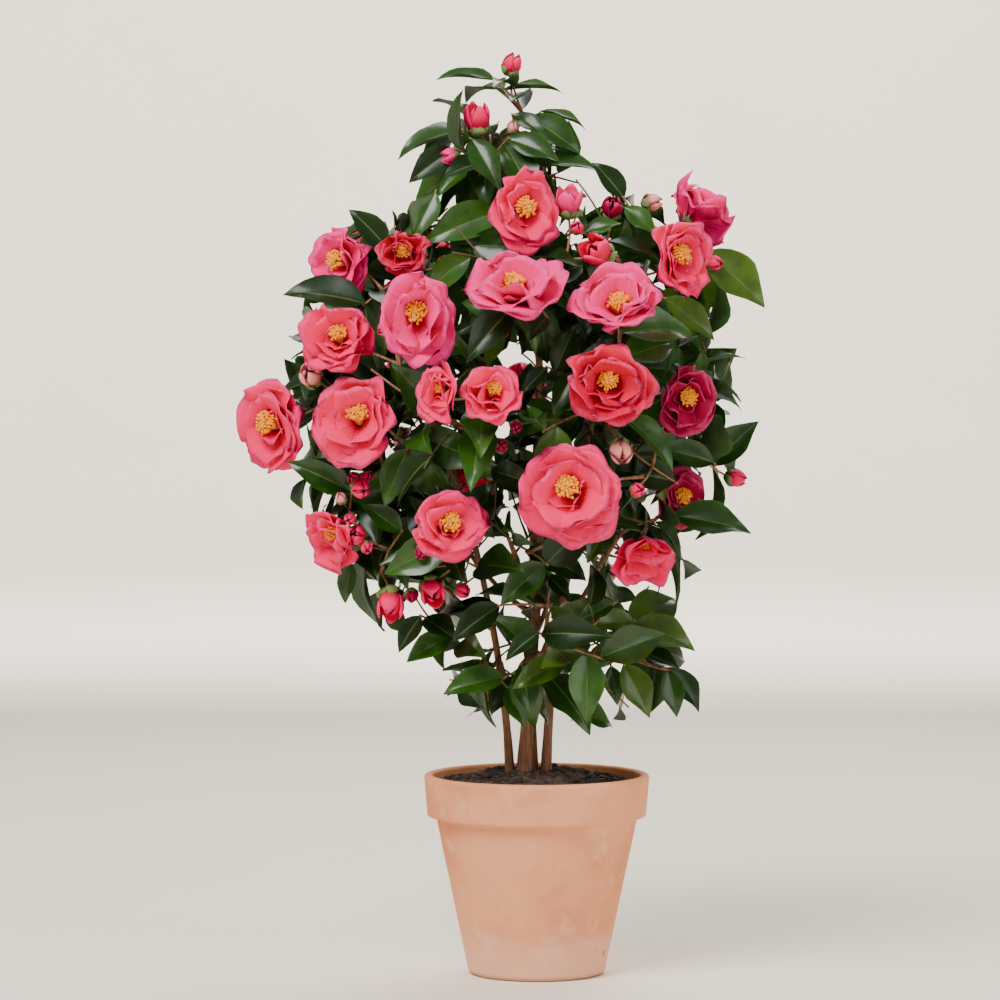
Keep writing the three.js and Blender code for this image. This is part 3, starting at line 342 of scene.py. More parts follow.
# How leaves are dealt along a shoot: first by the solids' rule, then by the finer one.
SOLID_RULE = Record(
    per_flower=4, per_shoot=6, spacing=13, tries=40, sister=8.5, stranger=12.5, limb=5, twig=2.5, overhang=14,
    lengths=(66, 88), boxed=False)
FINE_RULE = Record(
    per_flower=3, per_shoot=4, spacing=9, tries=10, sister=4.5, stranger=5, limb=3.5, twig=1.5, overhang=5,
    lengths=(46, 74), boxed=True)

# Where the photograph shows sky through the crown or beside it: pixel and half width.
SKY_WINDOWS = (
    ((447, 208), 9), ((470, 215), 7), ((448, 243), 6), ((476, 92), 6), ((503, 112), 4), ((566, 232), 6),
    ((588, 205), 6), ((567, 246), 7), ((545, 103), 10), ((527, 98), 5), ((568, 108), 7), ((597, 140), 12),
    ((610, 150), 8), ((576, 178), 9), ((432, 120), 10), ((448, 132), 6), ((418, 132), 8), ((396, 176), 10),
    ((395, 200), 12), ((376, 196), 12), ((513, 360), 11), ((540, 362), 6), ((447, 427), 9), ((421, 446), 5),
    ((398, 457), 5), ((303, 444), 8), ((457, 478), 8), ((470, 490), 7), ((545, 393), 8), ((505, 430), 5),
    ((678, 474), 7), ((712, 479), 6), ((655, 512), 9), ((652, 441), 4), ((510, 520), 8), ((500, 545), 8),
    ((512, 552), 7), ((478, 552), 9), ((520, 532), 8), ((533, 552), 5), ((562, 560), 7), ((577, 565), 9),
    ((548, 590), 8), ((582, 588), 6), ((542, 618), 9), ((478, 598), 10), ((490, 606), 7), ((494, 570), 7),
    ((497, 635), 6), ((502, 650), 6), ((470, 640), 6), ((524, 606), 6), ((512, 618), 6), ((577, 673), 8),
    ((625, 592), 12), ((642, 600), 12), ((640, 590), 10), ((623, 672), 5), ((560, 706), 9), ((580, 684), 5),
    ((604, 690), 6), ((637, 705), 8), ((430, 668), 9), ((405, 600), 6), ((425, 608), 6), ((668, 590), 14),
    ((700, 600), 14), ((352, 590), 14), ((360, 640), 14),
)
WINDOW_PLACES = np.array([place for place, _ in SKY_WINDOWS], float)
WINDOW_HALVES = np.array([half for _, half in SKY_WINDOWS], float)


class Dice:
    """A repeatable source of numbers between 0 and 1."""

    def __init__(self, seed):
        self.state = seed

    def next(self):
        self.state = (self.state * 48271) % 2147483647
        return self.state / 2147483647

    def between(self, low, high):
        return low + (high - low) * self.next()

    def pick(self, options):
        return options[min(len(options) - 1, int(self.next() * len(options)))]


def dice_for(piece, number=0):
    """Dice of a piece's own, past the first throw, which hardly differs from one seed to the next."""
    factor, step = PIECE_SEEDS[piece]
    dice = Dice(FIRST_SEED * factor + number * step)
    dice.next()
    return dice


def vector(x, y, z):
    return np.array((x, y, z), float)


UP = vector(0, 0, 1)
VIEWER = vector(0, -1, 0)


def length_of(v):
    return math.sqrt(v @ v)


def lengths_of(rows):
    return np.linalg.norm(rows, axis=1)


def unit(v):
    return v / length_of(v)


def seen_at(pixel, front):
    """The point that shows at a pixel, at a distance in front of the pot's axis."""
    across = (pixel[0] - AXIS_PIXEL) * MM_PER_PIXEL
    height = (GROUND_PIXEL - pixel[1]) * MM_PER_PIXEL
    share = (EYE_DISTANCE - front) / EYE_DISTANCE
    return vector(EYE_SIDE + (across - EYE_SIDE) * share, -front, EYE_HEIGHT + (height - EYE_HEIGHT) * share)


def pixels_of(points):
    """The pixels at which points show: the way back from seen_at."""
    share = (EYE_DISTANCE + points[:, 1]) / EYE_DISTANCE
    across = EYE_SIDE + (points[:, 0] - EYE_SIDE) / share
    height = EYE_HEIGHT + (points[:, 2] - EYE_HEIGHT) / share
    return np.stack((AXIS_PIXEL + across / MM_PER_PIXEL, GROUND_PIXEL - height / MM_PER_PIXEL), axis=1)


def facing(turn, lift):
    """The direction that is turned to the right and lifted by so many degrees from the viewer."""
    side, rise = math.radians(turn), math.radians(lift)
    return vector(math.sin(side) * math.cos(rise), -math.cos(side) * math.cos(rise), math.sin(rise))


def crown_at(height):
    """The crown's half width and middle at a height."""
    if height <= CROWN[0][0]:
        return CROWN[0][1:]
    if height > CROWN[-1][0]:
        return CROWN[-1][1:]
    above = next(i for i, row in enumerate(CROWN) if row[0] >= height)
    low, high = CROWN[above - 1], CROWN[above]
    share = (height - low[0]) / (high[0] - low[0])
    return low[1] + (high[1] - low[1]) * share, low[2] + (high[2] - low[2]) * share


def turned(v, axis, angle):
    """A vector turned about an axis of length 1."""
    across = np.cross(axis, v)
    return v * math.cos(angle) + across * math.sin(angle) + axis * (axis @ v) * (1 - math.cos(angle))


def skyward(place):
    """The way that a leaf with its root at a place would turn its upper face."""
    out = vector(place[0] - crown_at(place[2])[1], place[1], 0)
    far = max(1e-6, length_of(out))
    return unit(out / far * SKYWARD_OUT * min(1, far / SKYWARD_CORE) + UP * SKYWARD_UP)


def leaf_axes(along, roll, sky):
    """A leaf's own axes: along its midrib, across its blade and out of its upper face."""
    level = sky - along * (along @ sky)
    if level @ level < TOO_UPRIGHT:
        level = vector(1, 0, 0)
    face = turned(unit(level), along, roll)
    return along, np.cross(face, along), face


def sample_grid():
    rows = [i / LEAF_ROWS for i in range(1, LEAF_ROWS + 1)]
    columns = [j / LEAF_COLUMNS for j in range(-LEAF_COLUMNS, LEAF_COLUMNS + 1)]
    return np.array([(u, v) for u in rows for v in columns]).T


SAMPLE_U, SAMPLE_V = sample_grid()
SAMPLE_HALF = np.where(
    SAMPLE_U < LEAF_WIDEST, SAMPLE_U / LEAF_WIDEST, (1 - SAMPLE_U) / (1 - LEAF_WIDEST)) * LEAF_WIDTH_SHARE / 2
TIP_SAMPLE = len(SAMPLE_U) - 1 - LEAF_COLUMNS


def new_leaf(shoot, root, axes, length, curl):
    """A leaf with the points that stand for its blade when it is tried against its neighbours."""
    along, across, face = axes
    half = length * SAMPLE_HALF
    sag = length * (LEAF_RISE * SAMPLE_U - curl * SAMPLE_U * SAMPLE_U)
    samples = (
        root + np.outer(SAMPLE_U * length, along) + np.outer(SAMPLE_V * half, across)
        + np.outer(sag + np.abs(SAMPLE_V) * half * LEAF_FOLD, face))
    centre = samples.mean(0)
    return Record(
        shoot=shoot, root=root, axes=axes, length=length, curl=curl, samples=samples, centre=centre,
        squares=(samples * samples).sum(1), tip=samples[TIP_SAMPLE],
        reach=float(lengths_of(samples - centre).max()))


def nearest_square(leaf, other):
    """The square of the least distance between two leaves."""
    return (leaf.squares[:, None] + other.squares - 2 * leaf.samples @ other.samples.T).min()


def is_outside(leaf):
    """Whether a leaf reaches past the solids."""
    return ((leaf.samples < CROWN_LOW) | (leaf.samples > CROWN_HIGH)).any()


def gaps_to(points, starts, ends, radii):
    """The gap from each point to each round-ended bar."""
    run = ends - starts
    offset = points[:, None, :] - starts[None]
    share = np.clip((offset * run).sum(2) / (run * run).sum(1), 0, 1)
    return np.linalg.norm(offset - share[..., None] * run, axis=2) - radii


def cubic(points, t):
    a, b, c, d = points
    s = 1 - t
    return a * s ** 3 + b * 3 * s * s * t + c * 3 * s * t * t + d * t ** 3


def quadratic(points, t):
    a, b, c = points
    s = 1 - t
    return a * s * s + b * 2 * s * t + c * t * t


def lay_masses():
    """The masses of foliage, tier by tier, each with its middle and the height of its fork."""
    masses = []
    for tier, height, out, drop, sides in TIERS:
        middle = crown_at(height)[1]
        for i, (side, bearing) in enumerate(sides.items()):
            turn = math.radians(bearing)
            masses.append(Record(
                name=f"{tier}_{side}",
                heart=vector(middle + out * math.cos(turn), out * math.sin(turn), height),
                fork_height=height - drop - FORK_STEP * (i % 3),
                shoots=[], twigs=[], stem=[], joints=[], carrier=None))
    return masses


def nearest_mass(masses, place):
    return min(masses, key=lambda mass: length_of(mass.heart - place))


def new_shoot(kind, tip, face, width=0, **more):
    """A place that a twig grows to: its tip, the way it faces, and the flower's width there."""
    return Record(kind=kind, tip=tip, face=face, width=width, twig=None, blade=None, **more)


def flower_shoot(kind, row, behind=False):
    """A shoot that ends in a flower: where it is seen, or turned about the crown's middle to the back."""
    pixel, front, width, turn, lift, tone, opening = row
    tip = seen_at(pixel, front)
    if behind:
        tip[:2] = (2 * crown_at(tip[2])[1] - tip[0], -tip[1])
        turn += 180
    return new_shoot(kind, tip, facing(turn, lift), width, tone=tone, opening=opening, depth=0)


def shell_shoots(shells, shoots):
    """Leafy shoots dealt evenly round shells of the outline, away from those that are there."""
    low, high = CROWN[0][0], CROWN[-1][0]
    laid = []
    for depth, (inset, count, spacing) in enumerate(shells):
        for i in range(count):
            height = low + (high - low) * ((i + 0.5) / count)
            radius, middle = crown_at(height)
            bearing = i * GOLDEN_TURN
            if radius < inset:
                continue
            out = vector(math.cos(bearing), math.sin(bearing), 0)
            tip = vector(middle, 0, height) + out * (radius - inset)
            others = shoots + laid
            if any(length_of(other.tip - tip) < spacing + other.width * BLOOM_SPACE for other in others):
                continue
            out[2] = SHELL_LIFT
            laid.append(new_shoot("leaf", tip, unit(out), depth=depth))
    return laid


def lay_shoots(masses):
    """Every shoot of the solids: what is seen, its twins behind, and the leafy ones in between."""
    flowers = [("bloom", row) for row in BLOOMS] + [("bud", row) for row in BUDS]
    shoots = [flower_shoot(kind, row) for kind, row in flowers]
    shoots += [flower_shoot(kind, row, behind=True) for kind, row in flowers if row[1] > TWIN_FRONT]
    for i, (foot_pixel, tip_pixel, front, nearer, tilt) in enumerate(EDGE_LEAVES + SEEN_LEAVES):
        foot = seen_at(foot_pixel, front)
        run = seen_at(tip_pixel, front + nearer) - foot
        shoot = new_shoot("leaf", foot, unit(run), depth=0)
        shoot.blade = Record(
            length=length_of(run), tilt=math.radians(tilt), sure=i < len(EDGE_LEAVES), placed=False)
        shoots.append(shoot)
    shoots += shell_shoots(SHELLS, shoots)
    for number, shoot in enumerate(shoots):
        shoot.number = number
        shoot.mass = nearest_mass(masses, shoot.tip)
        shoot.mass.shoots.append(shoot)
    return shoots


def lay_limbs(masses):
    """Stems and boughs, each with its curve and radii."""
    limbs = []
    for name, (foot, low, high, tip, radii) in STEMS.items():
        points = [vector(*foot, MIX_TOP_HEIGHT - ROOTED), vector(*low), vector(*high), vector(*tip)]
        limbs.append(Record(
            name=name, points=points, at=lambda t, p=points: cubic(p, t), radii=radii, flare=FLARE,
            steps=STEM_STEPS, parent=None))
    stems = list(limbs)
    for stem, name in TIP_MASSES.items():
        mass = next(one for one in masses if one.name == name)
        mass.carrier = next(limb for limb in stems if limb.name == stem)
    for mass in masses:
        if mass.carrier:
            continue
        forks = []
        for stem in stems:
            shares = [i / FORK_SEARCH for i in range(FORK_SEARCH + 1)]
            share = min(LAST_FORK, min(shares, key=lambda t: abs(stem.at(t)[2] - mass.fork_height)))
            forks.append((stem, stem.at(share)))
        stem, place = min(forks, key=lambda fork: length_of(fork[1] - mass.heart))
        run = mass.heart - place
        points = [place, place + run * BOUGH_KNEE - UP * BOUGH_SAG, place + run * BOUGH_REACH]
        mass.carrier = Record(
            name=f"{mass.name}_bough", points=points, at=lambda t, p=points: quadratic(p, t),
            radii=BOUGH_RADII, flare=1, steps=BOUGH_STEPS, parent=stem)
        limbs.append(mass.carrier)
    return limbs


def radius_of(limb, share):
    thick, thin = limb.radii
    flare = 1 + (limb.flare - 1) * (1 - share / FLARE_SHARE) if share < FLARE_SHARE else 1
    return (thick + (thin - thick) * share) * flare


def bar(start, end, radius, mass=None, shoot=None):
    return Record(start=start, end=end, radius=radius, mass=mass, shoot=shoot, radii=TWIG_RADII)


def bars_of(limb):
    return [
        bar(limb.at(i / limb.steps), limb.at((i + 1) / limb.steps), radius_of(limb, i / limb.steps))
        for i in range(limb.steps)]


class Bars:
    """Round-ended bars that leaves and twigs keep away from."""

    def __init__(self, bars):
        self.bars = bars
        self.starts = np.array([one.start for one in bars])
        self.ends = np.array([one.end for one in bars])
        self.radii = np.array([one.radius for one in bars])
        self.owners = np.array([id(one.mass) for one in bars])
        self.twigs = np.array([id(one) for one in bars])
        self.middles = (self.starts + self.ends) / 2
        self.reaches = lengths_of(self.ends - self.starts) / 2 + self.radii

    def gaps(self, points, near=slice(None)):
        return gaps_to(points, self.starts[near], self.ends[near], self.radii[near])

    def near(self, centre, reach):
        return np.flatnonzero(lengths_of(self.middles - centre) < self.reaches + reach)


class Flowers:
    """The blooms and buds that leaves and twigs keep away from."""

    def __init__(self, shoots):
        self.shoots = [shoot for shoot in shoots if shoot.kind != "leaf"]
        self.tips = np.array([shoot.tip for shoot in self.shoots])
        self.faces = np.array([shoot.face for shoot in self.shoots])
        self.radii = np.array([shoot.width / 2 for shoot in self.shoots])
        reaches = np.array([FLOWER_REACH[shoot.kind] for shoot in self.shoots])
        self.behind = reaches[:, 0] * self.radii - FLOWER_GAP
        self.before = reaches[:, 1] * self.radii + FLOWER_GAP

    def hit(self, points, besides=None):
        middle = points.mean(0)
        reach = lengths_of(points - middle).max()
        near = lengths_of(self.tips - middle) < reach + self.radii * 2 + FLOWER_GAP
        if besides is not None:
            near &= np.array([shoot is not besides for shoot in self.shoots])
        if not near.any():
            return False
        offset = points[:, None, :] - self.tips[near][None]
        ahead = (offset * self.faces[near]).sum(2)
        aside = np.linalg.norm(offset - ahead[..., None] * self.faces[near], axis=2)
        inside = (ahead > self.behind[near]) & (ahead < self.before[near])
        return bool((inside & (aside < self.radii[near] + FLOWER_GAP)).any())


def twig_end(shoot):
    """Where a twig ends: at a leafy shoot's tip, or inside the flower."""
    return shoot.tip - shoot.face * (TWIG_DEPTH[shoot.kind] * shoot.width / 2)


def is_free_run(start, end, shoot, flowers, blocked):
    """Whether a twig would pass clear of the flowers, and of what else is in its way."""
    shares = np.arange(1, TWIG_CHECKS + 1)[:, None] / TWIG_CHECKS
    points = start + (end - start) * shares
    if blocked is not None and blocked.gaps(points).min() < TWIG_CLEARANCE:
        return False
    return not flowers.hit(points, shoot)


def joint_options(mass, start, to):
    """The joints of a mass that a twig could leave from, the handiest first."""
    def cost(joint):
        back = max(0, length_of(joint - start) - length_of(to - start))
        return length_of(joint - to) + back
    return sorted(mass.joints, key=cost)


def grow_twigs(mass, flowers, blocked):
    """The inner stem of a mass and the twigs that branch from it to each shoot."""
    curve = mass.carrier.at
    end = curve(1)
    way = unit(end - curve(NEARLY_END))
    start = end + way * CLEAR
    bend = start + way * COLLAR
    far = start + (mass.heart - start) * INNER_STEM_REACH
    mass.start = start
    mass.stem = [bar(start, bend, INNER_STEM_RADII[0], mass), bar(bend - way, far, INNER_STEM_RADII[0], mass)]
    mass.joints = [start + (far - start) * share for share in INNER_JOINTS]
    waiting = sorted(mass.shoots, key=lambda shoot: length_of(shoot.tip - start))
    mass.shoots = []
    for shoot in waiting:
        to = twig_end(shoot)
        options = joint_options(mass, start, to)
        found = next((
            joint for joint in options if length_of(joint - to) > SHORTEST_TWIG
            and is_free_run(joint, to, shoot, flowers, blocked)), None)
        if found is None:
            if shoot.kind == "leaf" and not (shoot.blade and shoot.blade.sure):
                continue
            found = options[0]
        grow_twig(mass, shoot, found, to)


def grow_twig(mass, shoot, joint, to):
    """A twig from a joint to a shoot, with joints of its own if it is long."""
    run = to - joint
    length = length_of(run)
    overrun = TWIG_OVERRUN if shoot.kind == "leaf" else 0
    shoot.twig = bar(joint, to + run / length * overrun, TWIG_RADII[0], mass, shoot)
    mass.twigs.append(shoot.twig)
    mass.shoots.append(shoot)
    count = int(length // JOINT_SPACING)
    mass.joints += [joint + run * ((i + 1) / (count + 1)) for i in range(count)]


def grow_fine_twig(shoot, joint, fine):
    """A twig that only the finer plant carries."""
    grow_twig(shoot.mass, shoot, joint, twig_end(shoot))
    shoot.twig.radii = FINE_TWIG_RADII
    shoot.twig.radius = FINE_TWIG_RADII[0]
    fine.append(shoot)


class World:
    """What a new leaf is tried against."""

    def __init__(self, masses, bars, flowers):
        self.hearts = np.array([mass.heart for mass in masses])
        self.bars = Bars(bars)
        self.flowers = flowers
        self.leaves = []
        self.centres = np.zeros((0, 3))
        self.reaches = np.zeros(0)

    def keep(self, leaf):
        self.leaves.append(leaf)
        self.centres = np.vstack((self.centres, leaf.centre))
        self.reaches = np.append(self.reaches, leaf.reach)

    def take(self, leaves):
        """Takes leaves away again."""
        kept = [i for i, leaf in enumerate(self.leaves) if not any(leaf is one for one in leaves)]
        self.leaves = [self.leaves[i] for i in kept]
        self.centres = self.centres[kept]
        self.reaches = self.reaches[kept]

    def fits(self, leaf, rule):
        """A leaf keeps to the crown and to its mass's own space, and touches nothing."""
        tip, mass = leaf.tip, leaf.shoot.mass
        radius, middle = crown_at(tip[2])
        if math.hypot(tip[0] - middle, tip[1]) > radius + rule.overhang:
            return False
        if rule.boxed and is_outside(leaf):
            return False
        if not CROWN[0][0] - CROWN_DROOP <= tip[2] <= CROWN[-1][0]:
            return False
        if length_of(tip - mass.heart) - lengths_of(self.hearts - tip).min() > STRAY:
            return False
        near = self.bars.near(leaf.centre, leaf.reach + rule.limb)
        gaps = self.bars.gaps(leaf.samples, near)
        own = self.bars.owners[near] == id(mass)
        far = lengths_of(leaf.samples - leaf.root) > ROOT_ROOM
        close = np.where(own, (gaps < rule.twig) & far[:, None], gaps < rule.limb)
        close[:, self.bars.twigs[near] == id(leaf.shoot.twig)] = False
        if close.any() or self.flowers.hit(leaf.samples):
            return False
        reach = self.reaches + leaf.reach + rule.stranger
        for i in np.flatnonzero(lengths_of(self.centres - leaf.centre) < reach):
            other = self.leaves[i]
            gap = rule.sister if other.shoot.mass is mass else rule.stranger
            if nearest_square(leaf, other) < gap * gap:
                return False
        return True


def blade_leaf(shoot):
    """The leaf of a shoot that is seen, with its face tilted towards the viewer."""
    blade = shoot.blade
    sky = UP * math.cos(blade.tilt) + VIEWER * math.sin(blade.tilt)
    return new_leaf(shoot, shoot.tip, leaf_axes(shoot.face, 0, sky), blade.length, SEEN_LEAF_CURL)


def place_blade(shoot, world):
    """Places a leaf that is seen, if it fits or makes the outline."""
    leaf = blade_leaf(shoot)
    if shoot.blade.sure or world.fits(leaf, SOLID_RULE):
        world.keep(leaf)
        shoot.blade.placed = True


def make_room(shoot, world):
    """Places a leaf that is seen where the solids' rule has set others, and takes those away."""
    leaf = blade_leaf(shoot)
    if is_outside(leaf) or world.flowers.hit(leaf.samples):
        return
    taken = [
        other for other in world.leaves
        if length_of(other.centre - leaf.centre) < other.reach + leaf.reach
        and nearest_square(leaf, other) < SEEN_ROOM * SEEN_ROOM]
    if any(other.shoot.blade for other in taken):
        return
    world.take(taken)
    world.keep(leaf)
    shoot.blade.placed = True


def grow_leaves(shoot, world, rule, seed):
    """The leaves of a shoot: each tries several ways to stand, and is skipped if it fits none."""
    dice = Dice(seed)
    start, end = shoot.twig.start, shoot.twig.end
    run = end - start
    length = length_of(run)
    way = run / length
    leafy = shoot.kind == "leaf"
    turn = dice.between(0, 2 * math.pi)
    for i in range(rule.per_shoot if leafy else rule.per_flower):
        back = (TWIG_OVERRUN if leafy else FIRST_LEAF) + i * rule.spacing
        if back > length - LAST_LEAF:
            break
        root = end - way * back
        turn += GOLDEN_TURN
        for attempt in range(rule.tries):
            spread = math.radians(dice.between(*LEAF_SPREADS))
            side = leaf_axes(way, turn + attempt * TURN_STEP, UP)[2]
            along = way * math.cos(spread) + side * math.sin(spread)
            along[2] -= dice.between(*LEAF_DROOPS)
            axes = leaf_axes(unit(along), math.radians(dice.between(*LEAF_ROLLS)), skyward(root))
            size = dice.between(*rule.lengths)
            leaf = new_leaf(shoot, root, axes, size, dice.between(*LEAF_CURLS))
            if rule is FINE_RULE and in_window(leaf):
                continue
            if world.fits(leaf, rule):
                world.keep(leaf)
                break


def drop_bare_twigs(masses, leaves):
    """Leaves out the twigs that carry neither a leaf, a flower nor another twig."""
    leafy = {id(leaf.shoot) for leaf in leaves}
    while True:
        twigs = [one for mass in masses for one in mass.twigs]
        starts = np.array([one.start for one in twigs])
        bare = set()
        for one in twigs:
            if one.shoot.kind == "leaf" and id(one.shoot) not in leafy:
                apart = gaps_to(starts, one.start[None], one.end[None], np.zeros(1))[:, 0]
                away = lengths_of(starts - one.start)
                if not ((apart < SAME_PLACE) & (away > SAME_PLACE)).any():
                    bare.add(id(one))
        if not bare:
            return
        for mass in masses:
            mass.twigs = [one for one in mass.twigs if id(one) not in bare]


def in_window(leaf):
    """Whether a leaf would cover a place where the photograph shows sky."""
    gaps = np.linalg.norm(pixels_of(leaf.samples)[:, None, :] - WINDOW_PLACES, axis=2)
    return bool((gaps < WINDOW_HALVES).any())


def grow_as_solids(masses, limbs, shoots):
    """Twigs and leaves by the solids' own rule: what they fill, and the shoots that a twig reaches."""
    bars = [one for limb in limbs for one in bars_of(limb)]
    flowers = Flowers(shoots)
    for mass in masses:
        grow_twigs(mass, flowers, Bars(bars))
        bars += mass.twigs + mass.stem
    kept = [shoot for mass in masses for shoot in mass.shoots]
    world = World(masses, bars, Flowers(kept))
    blades = [shoot for shoot in kept if shoot.blade]
    for shoot in sorted(blades, key=lambda shoot: not shoot.blade.sure):
        place_blade(shoot, world)
    for shoot in kept:
        grow_leaves(shoot, world, SOLID_RULE, FIRST_SEED + shoot.number * SEED_STEP)
    return world, kept


def grow_finer_twigs(masses, shoots, kept, world):
    """Twigs of the small buds, of seen leaves that had none, and of the shoots dealt in between."""
    fine = []
    small = [flower_shoot("bud", row) for row in SMALL_BUDS]
    for shoot in small + [shoot for shoot in shoots if shoot.blade and shoot.twig is None]:
        if shoot.kind == "bud":
            shoot.number = len(kept) + len(fine)
            shoot.mass = nearest_mass(masses, shoot.tip)
        joint = joint_options(shoot.mass, shoot.mass.start, shoot.tip)[0]
        grow_fine_twig(shoot, joint, fine)
    world.flowers = Flowers(kept + small)
    for shoot in shell_shoots(FINE_SHELLS, kept):
        mass = nearest_mass(masses, shoot.tip)
        shoot.mass = mass
        shoot.number = len(kept) + len(fine)
        joint = next((
            joint for joint in joint_options(mass, mass.start, shoot.tip)
            if SHORTEST_TWIG < length_of(joint - shoot.tip) < LONGEST_FINE_TWIG
            and is_free_run(joint, shoot.tip, shoot, world.flowers, None)), None)
        if joint is not None:
            grow_fine_twig(shoot, joint, fine)
    world.bars = Bars(world.bars.bars + [shoot.twig for shoot in fine])
    return fine


@lru_cache(maxsize=1)
def grown_plant():
    """The whole plant: the solids' own twigs and leaves first, then the finer ones between them."""
    masses = lay_masses()
    shoots = lay_shoots(masses)
    limbs = lay_limbs(masses)
    world, kept = grow_as_solids(masses, limbs, shoots)
    fine = grow_finer_twigs(masses, shoots, kept, world)
    for shoot in shoots:
        if shoot.blade and not shoot.blade.placed:
            make_room(shoot, world)
    for shoot in fine + kept:
        grow_leaves(shoot, world, FINE_RULE, FIRST_SEED + (shoot.number + len(kept)) * SEED_STEP)
    leaves = [leaf for leaf in world.leaves if leaf.shoot.blade or not in_window(leaf)]
    drop_bare_twigs(masses, leaves)
    return Record(masses=masses, limbs=limbs, leaves=leaves, flowers=world.flowers.shoots)


def frames_along(at, steps):
    """Points of a curve with two directions across it at each, carried along without twisting."""
    points = [at(i / steps) for i in range(steps + 1)]
    ways = [unit(points[min(i + 1, steps)] - points[max(i - 1, 0)]) for i in range(steps + 1)]
    level = vector(0, 1, 0) if abs(ways[0][1]) < 0.9 else vector(1, 0, 0)
    normals = [unit(np.cross(ways[0], level))]
    for way in ways[1:]:
        carried = normals[-1] - way * (normals[-1] @ way)
        normals.append(unit(carried))
    return points, normals, [np.cross(way, normal) for way, normal in zip(ways, normals)]


def limb_mesh(at, radius_at, sides, steps, relief=None):
    """A tapering limb: a round bar, cut into rings and bent along a curve."""
    bm = bmesh.new()
    bmesh.ops.create_cone(bm, cap_ends=True, segments=sides, radius1=1, radius2=1, depth=1)
    upright = [edge for edge in bm.edges if abs(edge.verts[0].co.z - edge.verts[1].co.z) > 0.5]
    if steps > 1:
        bmesh.ops.subdivide_edges(bm, edges=upright, cuts=steps - 1, use_grid_fill=True)
    points, normals, sideways = frames_along(at, steps)
    for vert in bm.verts:
        step = round((vert.co.z + 0.5) * steps)
        out = unit(vector(vert.co.x, vert.co.y, 0))
        away = normals[step] * out[0] + sideways[step] * out[1]
        place = points[step] + away * radius_at(step / steps)
        if relief:
            place = place + away * relief(place)
        vert.co = place
    for face in bm.faces:
        face.smooth = len(face.verts) == 4
    bmesh.ops.recalc_face_normals(bm, faces=bm.faces)
    return as_mesh(bm, "limb")


def as_mesh(bm, name):
    """The mesh of a bmesh, which is freed."""
    mesh = bpy.data.meshes.new(name)
    bm.to_mesh(mesh)
    bm.free()
    return mesh


def blade_mesh(columns, rows, place, thickness, slot_of):
    """A closed thin sheet: a grid laid out by place(u, v), doubled, and joined along its edge.

    u runs from the root to the tip and v across from -1 to 1. The upper faces take their material
    from slot_of(v), and the lower ones from slot_of(None).
    """
    bm = bmesh.new()
    bm.loops.layers.uv.new("Blade")
    bmesh.ops.create_grid(bm, x_segments=columns, y_segments=rows, size=1, calc_uvs=True)
    for face in bm.faces:
        face.smooth = True
        face.material_index = slot_of(face.calc_center_median().x)
    upper = list(bm.verts)
    edge = [vert for vert in upper if vert.is_boundary]
    rim = set(edge)
    faces = bm.faces[:]
    copied = bmesh.ops.duplicate(bm, geom=bm.verts[:] + bm.edges[:] + faces)
    twins = {one: copied["vert_map"][one] for one in upper}
    lower = [item for item in copied["geom"] if isinstance(item, bmesh.types.BMFace)]
    bmesh.ops.reverse_faces(bm, faces=faces)
    for face in lower:
        face.material_index = slot_of(None)
    for vert in upper:
        spot = place((vert.co.y + 1) / 2, vert.co.x)
        vert.co = spot
        twins[vert].co = spot
    bm.normal_update()
    for vert in upper:
        if vert not in rim:
            shift = vert.normal * (thickness / 2)
            twins[vert].co = vert.co - shift
            vert.co = vert.co + shift
    for vert in edge:
        for one in vert.link_edges:
            one.smooth = one.smooth and not one.is_boundary
    bmesh.ops.remove_doubles(bm, verts=bm.verts, dist=thickness * 0.01)
    for one in bm.edges:
        one.smooth = one.smooth and len({face.material_index for face in one.link_faces}) == 1
    return as_mesh(bm, "blade")


class Joined:
    """Many small meshes joined into one piece, and brought from millimetres to metres."""

    def __init__(self, name):
        self.name = name
        self.bm = bmesh.new()

    def add(self, mesh, matrix=None, keep=False):
        """Adds a mesh at a place. The mesh is used up, unless it is kept to be added again."""
        laid = mesh.copy() if keep else mesh
        if matrix is not None:
            laid.transform(matrix)
        self.bm.from_mesh(laid)
        bpy.data.meshes.remove(laid)

    def finish(self, slot, materials, nodes):
        """Makes the piece, which rides on the pot's body and stands for its nodes."""
        bmesh.ops.scale(self.bm, vec=(MM, MM, MM), verts=self.bm.verts)
        piece = bpy.data.objects.new(self.name, as_mesh(self.bm, self.name))
        bpy.context.scene.collection.objects.link(piece)
        for material in materials:
            piece.data.materials.append(material)
        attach(piece, "root")
        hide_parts(*nodes)


def mass_names():
    return [mass.name for mass in grown_plant().masses]


def basis(x, y, z, place, sizes=(1, 1, 1)):
    """A matrix that carries the three axes, each with its size, to a place."""
    columns = [axis * size for axis, size in zip((x, y, z), sizes)] + [place]
    rows = np.array(columns).T.tolist()
    return Matrix(rows + [[0, 0, 0, 1]])


NEARLY_UPRIGHT = 0.97


def aimed(place, face, spin):
    """A matrix that turns +Z to look along a direction, spun about itself."""
    level = vector(1, 0, 0) if abs(face[2]) > NEARLY_UPRIGHT else UP
    side = turned(unit(np.cross(level, face)), face, spin)
    return basis(side, np.cross(face, side), face, place)


# Leaves.

LEAF_SHAPES = 5
LEAF_COLUMN_LINES = (-1, -0.52, -0.045, 0.045, 0.52, 1)
BLADE_ROWS = 9
TONES = 4
UNDERSIDE_SLOT = TONES
MIDRIB_SLOT = TONES + 1
MIDRIB_HALF = 0.1

# The outline: a stalk, a rounded body, and a tip that is drawn out from a share of the length on.
STALK = 0.03
STALK_END = 0.1
STALK_HALF = 0.045
TIP_START = 0.6
TIP_NARROWING = 0.42

